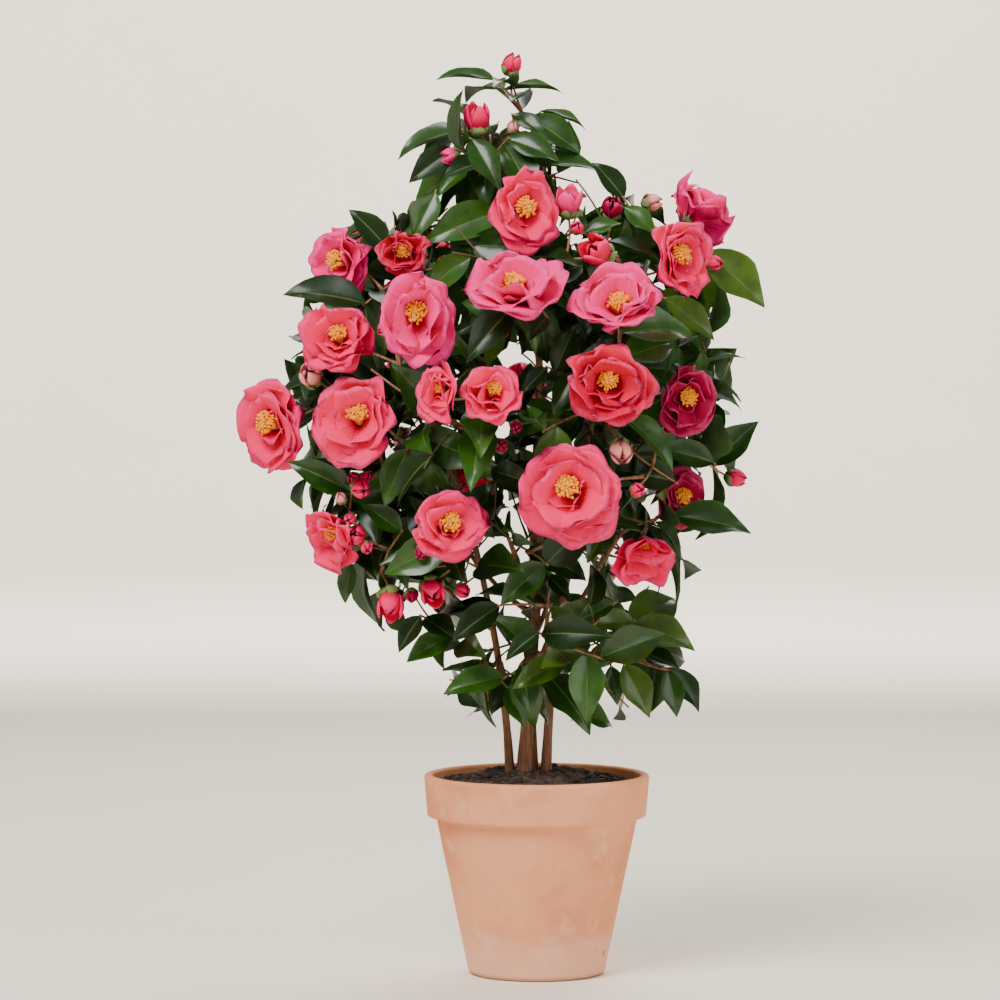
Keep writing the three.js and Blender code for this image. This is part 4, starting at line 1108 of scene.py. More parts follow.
# The blade's fold and hollow, its rippled edge, its hanging tip and its twist.
BLADE_FOLD = 0.44
BLADE_HOLLOW = 0.14
RIPPLE = 0.022
RIPPLE_WAVES = 10
TIP_DROOP = 0.44
DROOP_START = 0.8
TWIST = 0.2

DARKER_SHARE = 0.2
LEAF_WIDTHS = (0.92, 1.1)

# Which tones leaves have at the outline, in the shell behind it and further in, dark to fresh. The further
# in, the darker the tones, which is painted shade deep in the crown; the green tone of leaves that face the
# light is painted light, dealt most at the outline.
TONES_BY_DEPTH = ((0, 1, 1, 1, 2, 2, 3), (0, 1, 1, 2), (0, 0, 1))


def leaf_outline(u):
    """The half width of a leaf along its length, as a share of its greatest."""
    along = min(1, max(0, (u - STALK) / (1 - STALK)))
    body = math.sin(math.pi * along ** 0.82) ** 0.72
    tip = 1 - TIP_NARROWING * max(0, (u - TIP_START) / (1 - TIP_START)) ** 0.8
    return max(body * tip, STALK_HALF if u < STALK_END else 0)


def leaf_template(shape, tone, thickness, width_share):
    """A leaf of length 1 along +X, with its upper face along +Z and one of a few curls."""
    curl = LEAF_CURLS[0] + (LEAF_CURLS[1] - LEAF_CURLS[0]) * shape / (LEAF_SHAPES - 1)
    wave = (shape * 1.9) % (2 * math.pi)

    def place(u, v):
        line = LEAF_COLUMN_LINES[round((v + 1) / 2 * (len(LEAF_COLUMN_LINES) - 1))]
        half = leaf_outline(u) * width_share / 2
        edge = abs(line)
        fold = edge * half * BLADE_FOLD - math.sin(math.pi * edge) * half * BLADE_HOLLOW
        shift = wave + (2.1 if line > 0 else 0)
        ripple = RIPPLE * math.sin(u * RIPPLE_WAVES + shift) * edge * edge
        droop = TIP_DROOP * max(0, u - DROOP_START) ** 1.5
        twist = TWIST * math.sin(wave) * u * line * half
        return (u, line * half, LEAF_RISE * u - curl * u * u + fold + ripple - droop + twist)

    def slot_of(v):
        if v is None:
            return UNDERSIDE_SLOT
        return MIDRIB_SLOT if abs(v) < MIDRIB_HALF else tone

    return blade_mesh(len(LEAF_COLUMN_LINES) - 1, BLADE_ROWS, place, thickness, slot_of)


def leaf_tone(leaf, dice):
    """Inner leaves are darker, which is painted shade deep in the crown, and young ones at the tips of some
    shoots are lighter.
    """
    return dice.pick(TONES_BY_DEPTH[min(leaf.shoot.depth, len(TONES_BY_DEPTH) - 1)])


def leaf_shape(leaf):
    """The number of the template whose curl is nearest to a leaf's."""
    share = (leaf.curl - LEAF_CURLS[0]) / (LEAF_CURLS[1] - LEAF_CURLS[0])
    return min(LEAF_SHAPES - 1, max(0, round(share * (LEAF_SHAPES - 1))))


def build_leaves(looks, materials):
    plant = grown_plant()
    thickness = looks.leaf_thickness / MM / LONGEST_LEAF
    templates = {
        (shape, tone): leaf_template(shape, tone, thickness, looks.leaf_width)
        for shape in range(LEAF_SHAPES) for tone in range(TONES)}
    leaves = Joined("leaves")
    tones = {}
    for number, leaf in enumerate(plant.leaves):
        dice = dice_for("leaf", number)
        spray = id(leaf.shoot)
        if spray not in tones:
            tones[spray] = leaf_tone(leaf, dice)
        tone = tones[spray]
        if dice.next() < DARKER_SHARE:
            tone = max(0, tone - 1)
        along, across, face = leaf.axes
        width = leaf.length * dice.between(*LEAF_WIDTHS)
        matrix = basis(along, across, face, leaf.root, (leaf.length, width, leaf.length))
        leaves.add(templates[leaf_shape(leaf), tone], matrix, keep=True)
    leaves.finish("foliage", materials, mass_names())


# Blooms.

TONE_NAMES = ("coral", "rose", "crimson", "wine", "pale")
SEPAL_SLOT = len(TONE_NAMES)
LEAST_BEND = math.radians(4)
PETAL_COLUMNS = 12
PETAL_ROWS = 7

# A petal: how square its shoulders are, its notch and scallops, its widths and its middle crease.
SHOULDER_POWER = 2.7
NOTCH_HALF = 0.22
SCALLOP = 0.03
SCALLOP_WAVES = 7
ROOT_HALF = 0.3
BODY_HALF = 0.72
CREASE_HALF = 0.3

# The rings of a bloom, from the outermost in. A pair is a value and what a closed cup adds to it: the
# length, and the angle at which petals leave the axis and end. Sag turns them down, above and below.
PETAL_RINGS = (
    Record(
        counts=(6, 6, 7, 7), length=(0.98, 0.2), width=0.74, start=(36, 30), end=(-18, 76),
        hollow=0.1, offset=0, sag=16),
    Record(
        counts=(4, 4, 5, 5), length=(0.85, 0.16), width=0.66, start=(52, 22), end=(4, 68),
        hollow=0.26, offset=0.45, sag=14),
    Record(
        counts=(2, 2, 3, 3), length=(0.58, 0), width=0.4, start=(66, 0), end=(44, 30),
        hollow=0.5, offset=0.9, sag=8),
)
CUPPED = 0.5
CUPPED_COUNT = 6

# How far petals differ from one another.
PETAL_RANGES = Record(
    turn=(-0.26, 0.26), start=(-9, 9), end=(-26, 26), length=(0.86, 1.06), width=(0.84, 1.12),
    hollow=(-0.12, 0.36), ruffle=(0.5, 1.8), waves=(2.0, 4.2), notch=(0, 0.08), rounding=(0.36, 0.5),
    crease=(-0.06, 0.1), tilt=(-0.18, 0.18))

# Where a bloom sits behind its tip, and its sepals, as shares of its radius.
BLOOM_SEAT = 0.36
SEPAL_REACH = 0.55
SEPALS = 5
SEPAL_GRID = 4
SEPAL_TURNS = (-0.1, 0.1)
SEPAL_THICKNESS = 0.04
SEPAL_FORM = {
    "start": math.radians(8), "end": math.radians(58), "cup": 0.4, "ruffle": 0, "waves": 1, "phase": 0,
    "notch": 0, "rounding": 0.5, "crease": 0, "tilt": 0,
}


def petal_lift(shape, u, v, aside):
    """How far a petal's surface stands off its middle line."""
    cup = shape.cup * (1 - math.cos(min(1.3, abs(aside) / shape.width * 1.25))) * shape.width
    wave = shape.ruffle * shape.width * 0.24 * u * u * math.sin(v * shape.waves + shape.phase + u * 2)
    wave += shape.ruffle * shape.width * 0.17 * u ** 4 * math.sin(v * 2 * shape.waves + shape.phase * 3)
    crease = shape.crease * shape.width * u * math.exp(-(v / CREASE_HALF) ** 2)
    return cup + wave - crease + shape.tilt * aside * u


def petal_mesh(shape, tone, thickness, columns=PETAL_COLUMNS, rows=PETAL_ROWS):
    """A petal that leaves the flower's axis and bends outwards, cupped, ruffled and notched."""
    lean = shape.end - shape.start

    def place(u, v):
        reach = 1 - shape.rounding * abs(v) ** SHOULDER_POWER - shape.notch * math.exp(-(v / NOTCH_HALF) ** 2)
        reach += SCALLOP * math.sin(v * SCALLOP_WAVES + shape.phase) * shape.ruffle
        angle = shape.start + lean * (u * (1 + (reach - 1) * u))
        r = shape.base + shape.length * (math.sin(angle) - math.sin(shape.start)) / lean
        z = shape.length * (math.cos(shape.start) - math.cos(angle)) / lean
        body = ROOT_HALF + BODY_HALF * math.sin(math.pi * 0.62 * u ** 0.9)
        aside = v * (shape.width * body * (1 - 0.1 * u * u))
        lift = petal_lift(shape, u, v, aside)
        return (r - math.sin(angle) * lift, aside, z + math.cos(angle) * lift)

    mesh = blade_mesh(columns, rows, place, thickness, lambda v: tone)
    mesh.transform(Matrix.Rotation(shape.turn, 4, "Z"))
    return mesh


def bloom_petals(shoot, closer, looks, dice):
    """The petals of a semi-double bloom, from the outer ones in: the lower ones hang, the upper ones
    lean over the stamens, and the inner ones fold round them."""
    radius = shoot.width / 2
    cup = shoot.opening + closer
    counts = [
        CUPPED_COUNT if ring is PETAL_RINGS[0] and cup > CUPPED else dice.pick(ring.counts)
        for ring in PETAL_RINGS]
    spin = dice.between(0, 2 * math.pi)
    vary = PETAL_RANGES
    for count, ring in zip(counts, PETAL_RINGS):
        length, start, end = [value + more * cup for value, more in (ring.length, ring.start, ring.end)]
        for i in range(count):
            turn = spin + (i + ring.offset + dice.between(*vary.turn)) * 2 * math.pi / count
            up = math.sin(turn)
            angle = math.radians(start + dice.between(*vary.start) + 0.4 * ring.sag * up)
            finish = math.radians(end + dice.between(*vary.end) + ring.sag * up)
            if abs(finish - angle) < LEAST_BEND:
                finish = angle - LEAST_BEND
            yield Record(
                turn=turn, base=radius * 0.05, length=radius * length * dice.between(*vary.length),
                width=radius * ring.width * dice.between(*vary.width), start=angle, end=finish,
                cup=ring.hollow + dice.between(*vary.hollow),
                ruffle=looks.ruffle * dice.between(*vary.ruffle),
                waves=dice.between(*vary.waves), phase=dice.between(0, 2 * math.pi),
                notch=dice.between(*vary.notch), rounding=dice.between(*vary.rounding),
                crease=dice.between(*vary.crease), tilt=dice.between(*vary.tilt))


def sepal_meshes(radius, dice):
    """Green scales that hold a flower from behind."""
    for i in range(SEPALS):
        shape = Record(
            turn=(i + dice.between(*SEPAL_TURNS)) * 2 * math.pi / SEPALS,
            base=radius * 0.02, length=radius * 0.5, width=radius * 0.3, **SEPAL_FORM)
        yield petal_mesh(shape, SEPAL_SLOT, radius * SEPAL_THICKNESS, SEPAL_GRID, SEPAL_GRID)


def flowers_of(kind, piece):
    """The plant's blooms or buds, each with its radius and with dice of its own for a piece."""
    for shoot in grown_plant().flowers:
        if shoot.kind == kind:
            yield shoot, shoot.width / 2, dice_for(piece, shoot.number)


def build_blooms(looks, materials):
    blooms = Joined("blooms")
    for shoot, radius, dice in flowers_of("bloom", "bloom"):
        seat = shoot.tip - shoot.face * radius * BLOOM_SEAT
        seen = shoot.number < len(BLOOM_SPREADS)
        across, up, closer = BLOOM_SPREADS[shoot.number] if seen else BACK_SPREAD
        matrix = aimed(seat, shoot.face, 0) @ Matrix.Diagonal((across, up, 1, 1))
        tone = TONE_NAMES.index(shoot.tone)
        for shape in bloom_petals(shoot, closer, looks, dice):
            blooms.add(petal_mesh(shape, tone, looks.petal_thickness / MM), matrix)
        behind = aimed(seat - shoot.face * radius * 0.05, shoot.face, 0)
        for mesh in sepal_meshes(radius * SEPAL_REACH, dice):
            blooms.add(mesh, behind)
    blooms.finish("foliage", materials, mass_names())


# Stamens.

ANTHER_SLOT = 1

# A boss for a bloom of radius 1: the column of joined filaments, and the tuft that opens out of it.
COLUMN_SIDES = 12
COLUMN_RADII = (0.085, 0.17)
COLUMN_HEIGHT = 0.4
TUFT_RADIUS = 0.255
TUFT_HEIGHT = 0.50
TUFT_DOME = 0.11
FILAMENT_FOOT = 0.14
FILAMENT_SIDES = 3
FILAMENT_RADII = (0.014, 0.011)
SHOWING_RING = 0.5
ANTHER_SIZE = (0.03, 0.04, 0.055)
BOSS_RANGES = Record(
    turn=(-0.2, 0.2), reach=(0.8, 1.12), height=(-0.045, 0.045), bend=(-0.7, 0.7), size=(0.85, 1.2))

# How bosses sit in their blooms.
BOSS_SHAPES = 4
BOSS_SEAT = 0.34
BOSS_SIZES = (0.8, 0.96)
SMALL_BLOOM = 65
SMALL_BLOOM_BOSS = 1.15
BOSS_LEAN = 0.22
BOSS_STRETCH = 1.2


def stamen_boss(number, count):
    """A dense boss of stamens around +Z: filaments, with an anther at the head of each."""
    dice = dice_for("boss", number)
    vary = BOSS_RANGES
    bm = bmesh.new()
    column = Matrix.Translation((0, 0, COLUMN_HEIGHT / 2))
    bmesh.ops.create_cone(
        bm, cap_ends=True, segments=COLUMN_SIDES, radius1=COLUMN_RADII[0], radius2=COLUMN_RADII[1],
        depth=COLUMN_HEIGHT, matrix=column)
    for i in range(count):
        ring = math.sqrt((i + 0.5) / count)
        turn = i * GOLDEN_TURN + dice.between(*vary.turn)
        reach = TUFT_RADIUS * ring * dice.between(*vary.reach)
        height = TUFT_HEIGHT - TUFT_DOME * ring * ring + dice.between(*vary.height)
        inner = 0.4 * reach
        foot = Vector((inner * math.cos(turn), inner * math.sin(turn), FILAMENT_FOOT))
        head = Vector((reach * math.cos(turn), reach * math.sin(turn), height))
        way = head - foot
        stand = way.to_track_quat("Z", "Y").to_matrix().to_4x4()
        if ring > SHOWING_RING:
            stalk = Matrix.Translation((foot + head) / 2) @ stand
            bmesh.ops.create_cone(
                bm, cap_ends=False, segments=FILAMENT_SIDES, radius1=FILAMENT_RADII[0],
                radius2=FILAMENT_RADII[1], depth=way.length, matrix=stalk)
        bend = Matrix.Rotation(dice.between(*vary.bend), 4, "X")
        size = dice.between(*vary.size)
        wide, deep, long = ANTHER_SIZE
        form = Matrix.Diagonal((wide * size, deep * size, long, 1))
        anther = Matrix.Translation(head) @ stand @ bend @ form
        made = bmesh.ops.create_icosphere(bm, subdivisions=1, radius=1, matrix=anther)
        for face in {face for vert in made["verts"] for face in vert.link_faces}:
            face.material_index = ANTHER_SLOT
            face.smooth = True
    return as_mesh(bm, "stamens")


def build_stamens(looks, materials):
    templates = [stamen_boss(i, looks.stamen_count) for i in range(BOSS_SHAPES)]
    stamens = Joined("stamens")
    for shoot, radius, dice in flowers_of("bloom", "stamens"):
        size = radius * dice.between(*BOSS_SIZES) * (SMALL_BLOOM_BOSS if shoot.width < SMALL_BLOOM else 1)
        seat = shoot.tip - shoot.face * radius * BOSS_SEAT
        aside = vector(dice.between(-1, 1), dice.between(-1, 1), 1 + dice.between(-1, 1))
        lean = unit(shoot.face + aside * BOSS_LEAN)
        matrix = aimed(seat, lean, dice.between(0, 6)) @ Matrix.Diagonal((size, size, size * BOSS_STRETCH, 1))
        stamens.add(dice.pick(templates), matrix, keep=True)
    stamens.finish("foliage", materials, mass_names())


# Buds.

# A bud's petals, in radii of the bud: how far below its middle they start, and how far up they reach.
BUD_DEPTH = 1.25
BUD_LENGTH = 2.55
BUD_GRID = (5, 6)
SHELL_THICKNESS = 0.05

# Layers of a bud: the petals seen, their half widths in radians, and the core that they wrap.
OUTER_SHELLS = 4
OUTER_SIZE = 0.94
OUTER_SPREAD = 1.05
OUTER_TURNS = (-0.2, 0.2)
CORE_SHELLS = 3
CORE_SIZE = 0.7
CORE_SPREAD = 1.2

# Scales round its foot: how much of the bud they cover, on a tight small bud and on a larger one.
SCALES = 6
SCALE_OPENING = 0.35
SCALE_SPREAD = 0.62
SCALE_SIZE = 1.05
SMALL_BUD = 20
SMALL_BUD_COVER = 0.52
BUD_COVER = 0.36


def bud_shell(radius, opening, turn, layer, tone, spread):
    """One petal of a bud, wrapped round it, with one edge over its neighbour's."""
    def place(u, v):
        close = 1 - opening * 0.45
        body = math.sin(math.pi * (0.04 + 0.93 * u * close)) ** 0.62
        across = v * spread * (1 - 0.55 * u ** 3)
        angle = turn + across + 0.25 * u
        out = radius * body * (1 + 0.07 * v + 0.04 * layer) * (1 + opening * 0.2 * u * u)
        z = radius * (-BUD_DEPTH + BUD_LENGTH * u * (1 - 0.16 * v * v * u))
        return (out * math.cos(angle), out * math.sin(angle), z)

    return blade_mesh(*BUD_GRID, place, radius * SHELL_THICKNESS, lambda v: tone)


def build_buds(materials):
    buds = Joined("buds")
    for shoot, radius, dice in flowers_of("bud", "bud"):
        matrix = aimed(shoot.tip, shoot.face, dice.between(0, 6))
        tone = TONE_NAMES.index(shoot.tone)
        for i in range(OUTER_SHELLS):
            turn = i * 2 * math.pi / OUTER_SHELLS + dice.between(*OUTER_TURNS)
            shell = bud_shell(radius * OUTER_SIZE, shoot.opening, turn, i % 2, tone, OUTER_SPREAD)
            buds.add(shell, matrix)
        for i in range(CORE_SHELLS):
            turn = (i + 0.5) * 2 * math.pi / CORE_SHELLS
            buds.add(bud_shell(radius * CORE_SIZE, 0, turn, 0, tone, CORE_SPREAD), matrix)
        cover = SMALL_BUD_COVER if shoot.width < SMALL_BUD else BUD_COVER
        drop = Matrix.Translation((0, 0, -radius * BUD_DEPTH * (1 - cover)))
        for i in range(SCALES):
            shrink = Matrix.Diagonal((1, 1, cover + 0.05 * (i % 3), 1))
            size = radius * (SCALE_SIZE - 0.03 * i)
            scale = bud_shell(size, SCALE_OPENING, i * GOLDEN_TURN, 0, SEPAL_SLOT, SCALE_SPREAD)
            buds.add(scale, matrix @ drop @ shrink)
    buds.finish("foliage", materials, mass_names())


# Stems, boughs and twigs.

STEM_SIDES = 16
STEM_RINGS = 96
BOUGH_SIDES = 10
BOUGH_RINGS = 22
BOUGH_END = 0.995
BOUGH_COLLAR = 0.45
TWIG_SIDES = 6
TWIG_RINGS = 4
TWIG_COLLAR = 0.5
TWIG_TAPER = (1.15, 0.8)
TWIG_BOWS = (0.02, 0.07)
OLD_TWIG_SLOT = 0
YOUNG_TWIG_SLOT = 1
STEM_SEARCH = 400
STEM_ROOT = 3

# Bark: how closely its streaks and its grain follow one another, across and up, and its rings.
STREAKS = (0.22, 0.035)
GRAIN = (0.5, 0.2)
GRAIN_SHARE = 0.4
RING_SPACING = 0.21
RING_START = 0.93
RING_WIDTH = 0.07
RING_SHARE = 0.5


def noise_at(place, across, up):
    """Noise that changes so closely across and up."""
    return noise.noise(Vector((place[0] * across, place[1] * across, place[2] * up)))


def bark_relief(depth):
    """How far bark stands out at a place: long shallow ridges, a finer grain and a few rings."""
    def relief(place):
        streak = noise_at(place, *STREAKS)
        grain = noise_at(place, *GRAIN)
        wave = math.sin(place[2] * RING_SPACING + 3 * streak)
        ring = max(0, wave - RING_START) / RING_WIDTH
        return depth * (streak + GRAIN_SHARE * grain + RING_SHARE * ring)
    return relief


def share_above_mix(stem):
    """Where a stem's curve comes out of the mix, less a little that stays in it."""
    shares = (i / STEM_SEARCH for i in range(STEM_SEARCH))
    return next(share for share in shares if stem.at(share)[2] > MIX_TOP_HEIGHT - STEM_ROOT)


def limb_line(limb, start, end):
    """A limb's curve from one share of it to another."""
    return lambda t: limb.at(start + (end - start) * t)


def limb_radius(limb):
    """A limb's radius along its length, with a collar where a bough leaves its stem."""
    collar = BOUGH_COLLAR if limb.parent else 0
    return lambda share: radius_of(limb, share) * (1 + collar * math.exp(-share * 9))


def build_limbs(looks, materials):
    plant = grown_plant()
    limbs = Joined("stems_and_boughs")
    relief = bark_relief(looks.bark_relief / MM)
    for limb in plant.limbs:
        if limb.parent:
            line, sides, rings = limb_line(limb, 0, BOUGH_END), BOUGH_SIDES, BOUGH_RINGS
        else:
            line, sides, rings = limb_line(limb, share_above_mix(limb), 1), STEM_SIDES, STEM_RINGS
        limbs.add(limb_mesh(line, limb_radius(limb), sides, rings, relief))
    limbs.finish("bark", materials, [limb.name for limb in plant.limbs])


def straight_line(one):
    return lambda t: one.start + (one.end - one.start) * t


def bent_line(one, dice):
    """A twig's line, with a slight bend to one side that leaves its ends where they are."""
    run = one.end - one.start
    length = length_of(run)
    aside = unit(np.cross(run, vector(dice.between(-1, 1), dice.between(-1, 1), dice.between(-1, 1))))
    bow = aside * length * dice.between(*TWIG_BOWS)
    return lambda t: one.start + run * t + bow * (4 * t * (1 - t))


def twig_radius(thick, thin):
    """A twig's radius along its length, with a collar at its foot."""
    return lambda t: (thick + (thin - thick) * t) * (1 + TWIG_COLLAR * math.exp(-t * 14))


def build_twigs(looks, materials):
    plant = grown_plant()
    twigs = Joined("twigs")
    dice = dice_for("twigs")
    middle = looks.twig_width / MM / 2
    old_radius = twig_radius(middle * TWIG_TAPER[0], middle * TWIG_TAPER[1])
    for mass in plant.masses:
        for one in mass.stem:
            mesh = limb_mesh(straight_line(one), twig_radius(*INNER_STEM_RADII), TWIG_SIDES, 1)
            twigs.add(in_one_slot(mesh, OLD_TWIG_SLOT))
        for one in mass.twigs:
            young = one.radii is not TWIG_RADII
            radius_at = twig_radius(*one.radii) if young else old_radius
            mesh = limb_mesh(bent_line(one, dice), radius_at, TWIG_SIDES, TWIG_RINGS)
            twigs.add(in_one_slot(mesh, YOUNG_TWIG_SLOT if young else OLD_TWIG_SLOT))
    twigs.finish("foliage", materials, mass_names())


def in_one_slot(mesh, slot):
    mesh.polygons.foreach_set("material_index", [slot] * len(mesh.polygons))
    return mesh


# Pot and mix.

POT_STEPS = 128
HOLLOW_HEIGHT = 3.2
HOLLOW_EDGE = 12
RING_EDGE = 8
UNDERCUT = 4
UNDERCUT_OUT = 3
BAND_EDGE = 2.4
FLOOR_BELOW_MIX = 14
SHARP_ANGLE = math.radians(35)
EDGE_ROUNDING = 0.6
LONG_EDGE = 25
LONG_EDGE_CUTS = 14

# The wall's unevenness: broad and banded, each with its share and how closely it changes.
BROAD = 0.35
BROAD_CHANGE = 0.02
BANDED = 0.12
BANDED_CHANGE = 0.3

MIX_STEPS = 110
MIX_RINGS = 46
MIX_OVERLAP = 2.6
MIX_DEPTH = 12

# Lumps of the mix: height, how closely they change, and a number that tells them apart.
LUMPS = ((1.7, 0.07, 3), (1.1, 0.2, 7), (0.8, 0.5, 11))

CRUMB_SHAPES = 6
CRUMB_ROUGHNESS = 0.45
CRUMB_LEAST = 0.8
CRUMB_MORE = 3.0
CRUMB_FLATNESS = (0.5, 1)
CRUMB_TILTS = (-0.5, 0.5)
CRUMB_LENGTHS = (0.8, 1.7)
SAME_SPOT = 1e-4
FACING_DOWN = -1e-3


def spun(profile, steps):
    """A smooth shape spun round +Z from a line of points, not yet turned the right way out."""
    bm = bmesh.new()
    verts = [bm.verts.new((r, 0, z)) for r, z in profile]
    edges = [bm.edges.new(pair) for pair in zip(verts, verts[1:])]
    bmesh.ops.spin(
        bm, geom=verts + edges, cent=(0, 0, 0), axis=(0, 0, 1), angle=2 * math.pi, steps=steps,
        use_merge=True)
    bmesh.ops.remove_doubles(bm, verts=bm.verts, dist=SAME_SPOT)
    for face in bm.faces:
        face.smooth = True
    return bm


def lathed_sheet(profile, steps):
    """An open sheet spun from a line that starts on the axis, with its upper side inwards."""
    bm = spun(profile, steps)
    bm.normal_update()
    bmesh.ops.reverse_faces(bm, faces=[face for face in bm.faces if face.normal.z < FACING_DOWN])
    return bm


def lathed(profile, steps):
    """A closed solid spun from a line that starts and ends on the axis."""
    bm = spun(profile, steps)
    bmesh.ops.recalc_face_normals(bm, faces=bm.faces)
    return bm


def arc(middle, radius, first, last, steps):
    """Points of an arc, from one angle to another in degrees."""
    angles = [math.radians(first + (last - first) * i / steps) for i in range(steps + 1)]
    return [(middle[0] + radius * math.cos(a), middle[1] + radius * math.sin(a)) for a in angles]


def pot_profile():
    """From the hollow of the foot up the wall, round the band and the lip, and down inside to the mix."""
    band_foot = POT_HEIGHT - BAND_HEIGHT
    inner = RIM_RADIUS - WALL
    lean = math.degrees(math.atan((RIM_RADIUS - BAND_FOOT_RADIUS) / BAND_HEIGHT))
    floor = MIX_EDGE_HEIGHT - FLOOR_BELOW_MIX
    return (
        [(0, HOLLOW_HEIGHT), (FOOT_RADIUS - HOLLOW_EDGE, HOLLOW_HEIGHT), (FOOT_RADIUS - RING_EDGE, 0)]
        + arc((FOOT_RADIUS, FOOT_ROUNDING), FOOT_ROUNDING, -90, 0, 6)
        + arc((SHOULDER_RADIUS + UNDERCUT_OUT, band_foot - UNDERCUT), UNDERCUT, 180, 90, 4)
        + arc((BAND_FOOT_RADIUS - BAND_EDGE, band_foot + BAND_EDGE), BAND_EDGE, -90, 0, 5)
        + arc((RIM_RADIUS - LIP, POT_HEIGHT - LIP), LIP, -lean, 90, 6)
        + arc((inner + LIP, POT_HEIGHT - LIP), LIP, 90, 180, 6)
        + [(inner - 3, floor), (0, floor)])


def is_sharp(edge):
    return len(edge.link_faces) == 2 and edge.calc_face_angle(0) > SHARP_ANGLE


def build_pot(looks, materials):
    pot = Joined("clay_pot")
    bm = lathed(pot_profile(), POT_STEPS)
    bmesh.ops.bevel(
        bm, geom=[edge for edge in bm.edges if is_sharp(edge)], offset=EDGE_ROUNDING, segments=2,
        profile=0.5, affect="EDGES", material=-1)
    long_edges = [edge for edge in bm.edges if abs(edge.verts[0].co.z - edge.verts[1].co.z) > LONG_EDGE]
    bmesh.ops.subdivide_edges(bm, edges=long_edges, cuts=LONG_EDGE_CUTS, use_grid_fill=True)
    for vert in bm.verts:
        out = math.hypot(vert.co.x, vert.co.y)
        if out > FOOT_RADIUS and vert.co.z > FOOT_ROUNDING:
            spot = vert.co * BROAD_CHANGE
            band = Vector((spot.x, spot.y, vert.co.z * BANDED_CHANGE))
            uneven = BROAD * noise.noise(spot) + BANDED * noise.noise(band)
            vert.co.xy *= 1 + uneven * looks.pot_unevenness / MM / out
    pot.add(as_mesh(bm, "pot"))
    pot.finish("clay", materials, ["pot"])


def mix_height(x, y):
    """The height of the mix at a place: a low lumpy mound."""
    share = min(1, max(0, (math.hypot(x, y) - MIX_FLAT_RADIUS) / (MIX_RADIUS - MIX_FLAT_RADIUS)))
    mound = MIX_TOP_HEIGHT - (MIX_TOP_HEIGHT - MIX_EDGE_HEIGHT) * share
    broad, middling, fine = [
        height * noise.noise(Vector((x * change, y * change, number))) for height, change, number in LUMPS]
    return mound + (broad + middling) + fine


def crumb_mesh(number):
    """A crumb of radius 1, one of a few."""
    bm = bmesh.new()
    bmesh.ops.create_icosphere(bm, subdivisions=1, radius=1)
    for vert in bm.verts:
        spot = vert.co * 1.4 + Vector((number * 5, 0, 0))
        vert.co *= 1 + CRUMB_ROUGHNESS * noise.noise(spot)
    return as_mesh(bm, "crumb")


def build_mix(looks, materials):
    mix = Joined("mix_surface")
    wide = MIX_RADIUS + MIX_OVERLAP
    top = [(wide * i / MIX_RINGS, MIX_TOP_HEIGHT) for i in range(MIX_RINGS + 1)]
    floor = MIX_EDGE_HEIGHT - MIX_DEPTH
    bm = lathed(top + [(wide, floor), (0, floor)], MIX_STEPS)
    for vert in bm.verts:
        if vert.co.z > MIX_EDGE_HEIGHT:
            vert.co.z = mix_height(vert.co.x, vert.co.y)
    mix.add(as_mesh(bm, "mix"))
    templates = [crumb_mesh(number) for number in range(CRUMB_SHAPES)]
    dice = dice_for("crumbs")
    for _ in range(looks.crumb_count):
        out = (MIX_RADIUS - 2) * math.sqrt(dice.next())
        turn = dice.between(0, 2 * math.pi)
        x, y = out * math.cos(turn), out * math.sin(turn)
        size = CRUMB_LEAST + CRUMB_MORE * dice.next() ** 2.2
        flat = dice.between(*CRUMB_FLATNESS)
        turn = Matrix.Rotation(dice.between(0, 6), 4, "Z")
        spin = turn @ Matrix.Rotation(dice.between(*CRUMB_TILTS), 4, "X")
        place = Matrix.Translation((x, y, mix_height(x, y) + size * 0.25))
        shape = Matrix.Diagonal((size * dice.between(*CRUMB_LENGTHS), size, size * flat, 1))
        mix.add(dice.pick(templates), place @ spin @ shape, keep=True)
    mix.finish("mix", materials, ["potting_mix"])


# Materials.

# Damp places low on the pot: where, how far they reach, and how strongly they show.
DAMP_SPOTS = (
    ((52, -41, 29), 11, 0.7), ((62, -27, 24), 10, 0.6), ((27, -62, 21), 5, 0.45), ((70, -14, 60), 7, 0.3),
    ((-58, 60, 66), 13, 0.5),
)

# How light passes through leaves and petals: how far each colour goes, and the scale of it in metres.
LEAF_GLOW = (0.06, (0.4, 1.0, 0.2), 0.002)
PETAL_GLOW = ((1.0, 0.2, 0.25), 0.004)
COAT_ROUGHNESS = 0.18

# The colour at a petal's root, as shares of its own: painted shade, which the faint veins take too.
PETAL_ROOT_SHADE_AND_VEIN = (0.62, 0.2, 0.36)


def give(tree, socket, value):
    """Links a socket to another, or sets its value."""
    if isinstance(value, bpy.types.NodeSocket):
        tree.links.new(value, socket)
    elif socket.type == "RGBA":
        socket.default_value = (*value[:3], 1)
    else:
        socket.default_value = value


def node(tree, kind, inputs=None, **settings):
    """Adds a node, sets its properties, and sets or links its inputs."""
    made = tree.nodes.new(kind)
    for key, value in settings.items():
        setattr(made, key, value)
    for key, value in (inputs or {}).items():
        give(tree, made.inputs[key], value)
    return made


def mixed(tree, factor, first, second):
    """Mixes two colours."""
    return node(tree, "ShaderNodeMix", {0: factor, 6: first, 7: second}, data_type="RGBA").outputs[2]


def ranged(tree, value, low, high, to_low=0, to_high=1):
    """Maps a value smoothly from one range to another."""
    return node(tree, "ShaderNodeMapRange", {
        "Value": value, "From Min": low, "From Max": high, "To Min": to_low, "To Max": to_high,
    }, interpolation_type="SMOOTHSTEP").outputs["Result"]


def sum_of(tree, first, second, operation="ADD"):
    return node(tree, "ShaderNodeMath", {0: first, 1: second}, operation=operation).outputs[0]


def clouds(tree, place, scale, detail, **more):
    """A soft noise over a surface."""
    inputs = {"Vector": place, "Scale": scale, "Detail": detail, **more}
    return node(tree, "ShaderNodeTexNoise", inputs).outputs["Fac"]


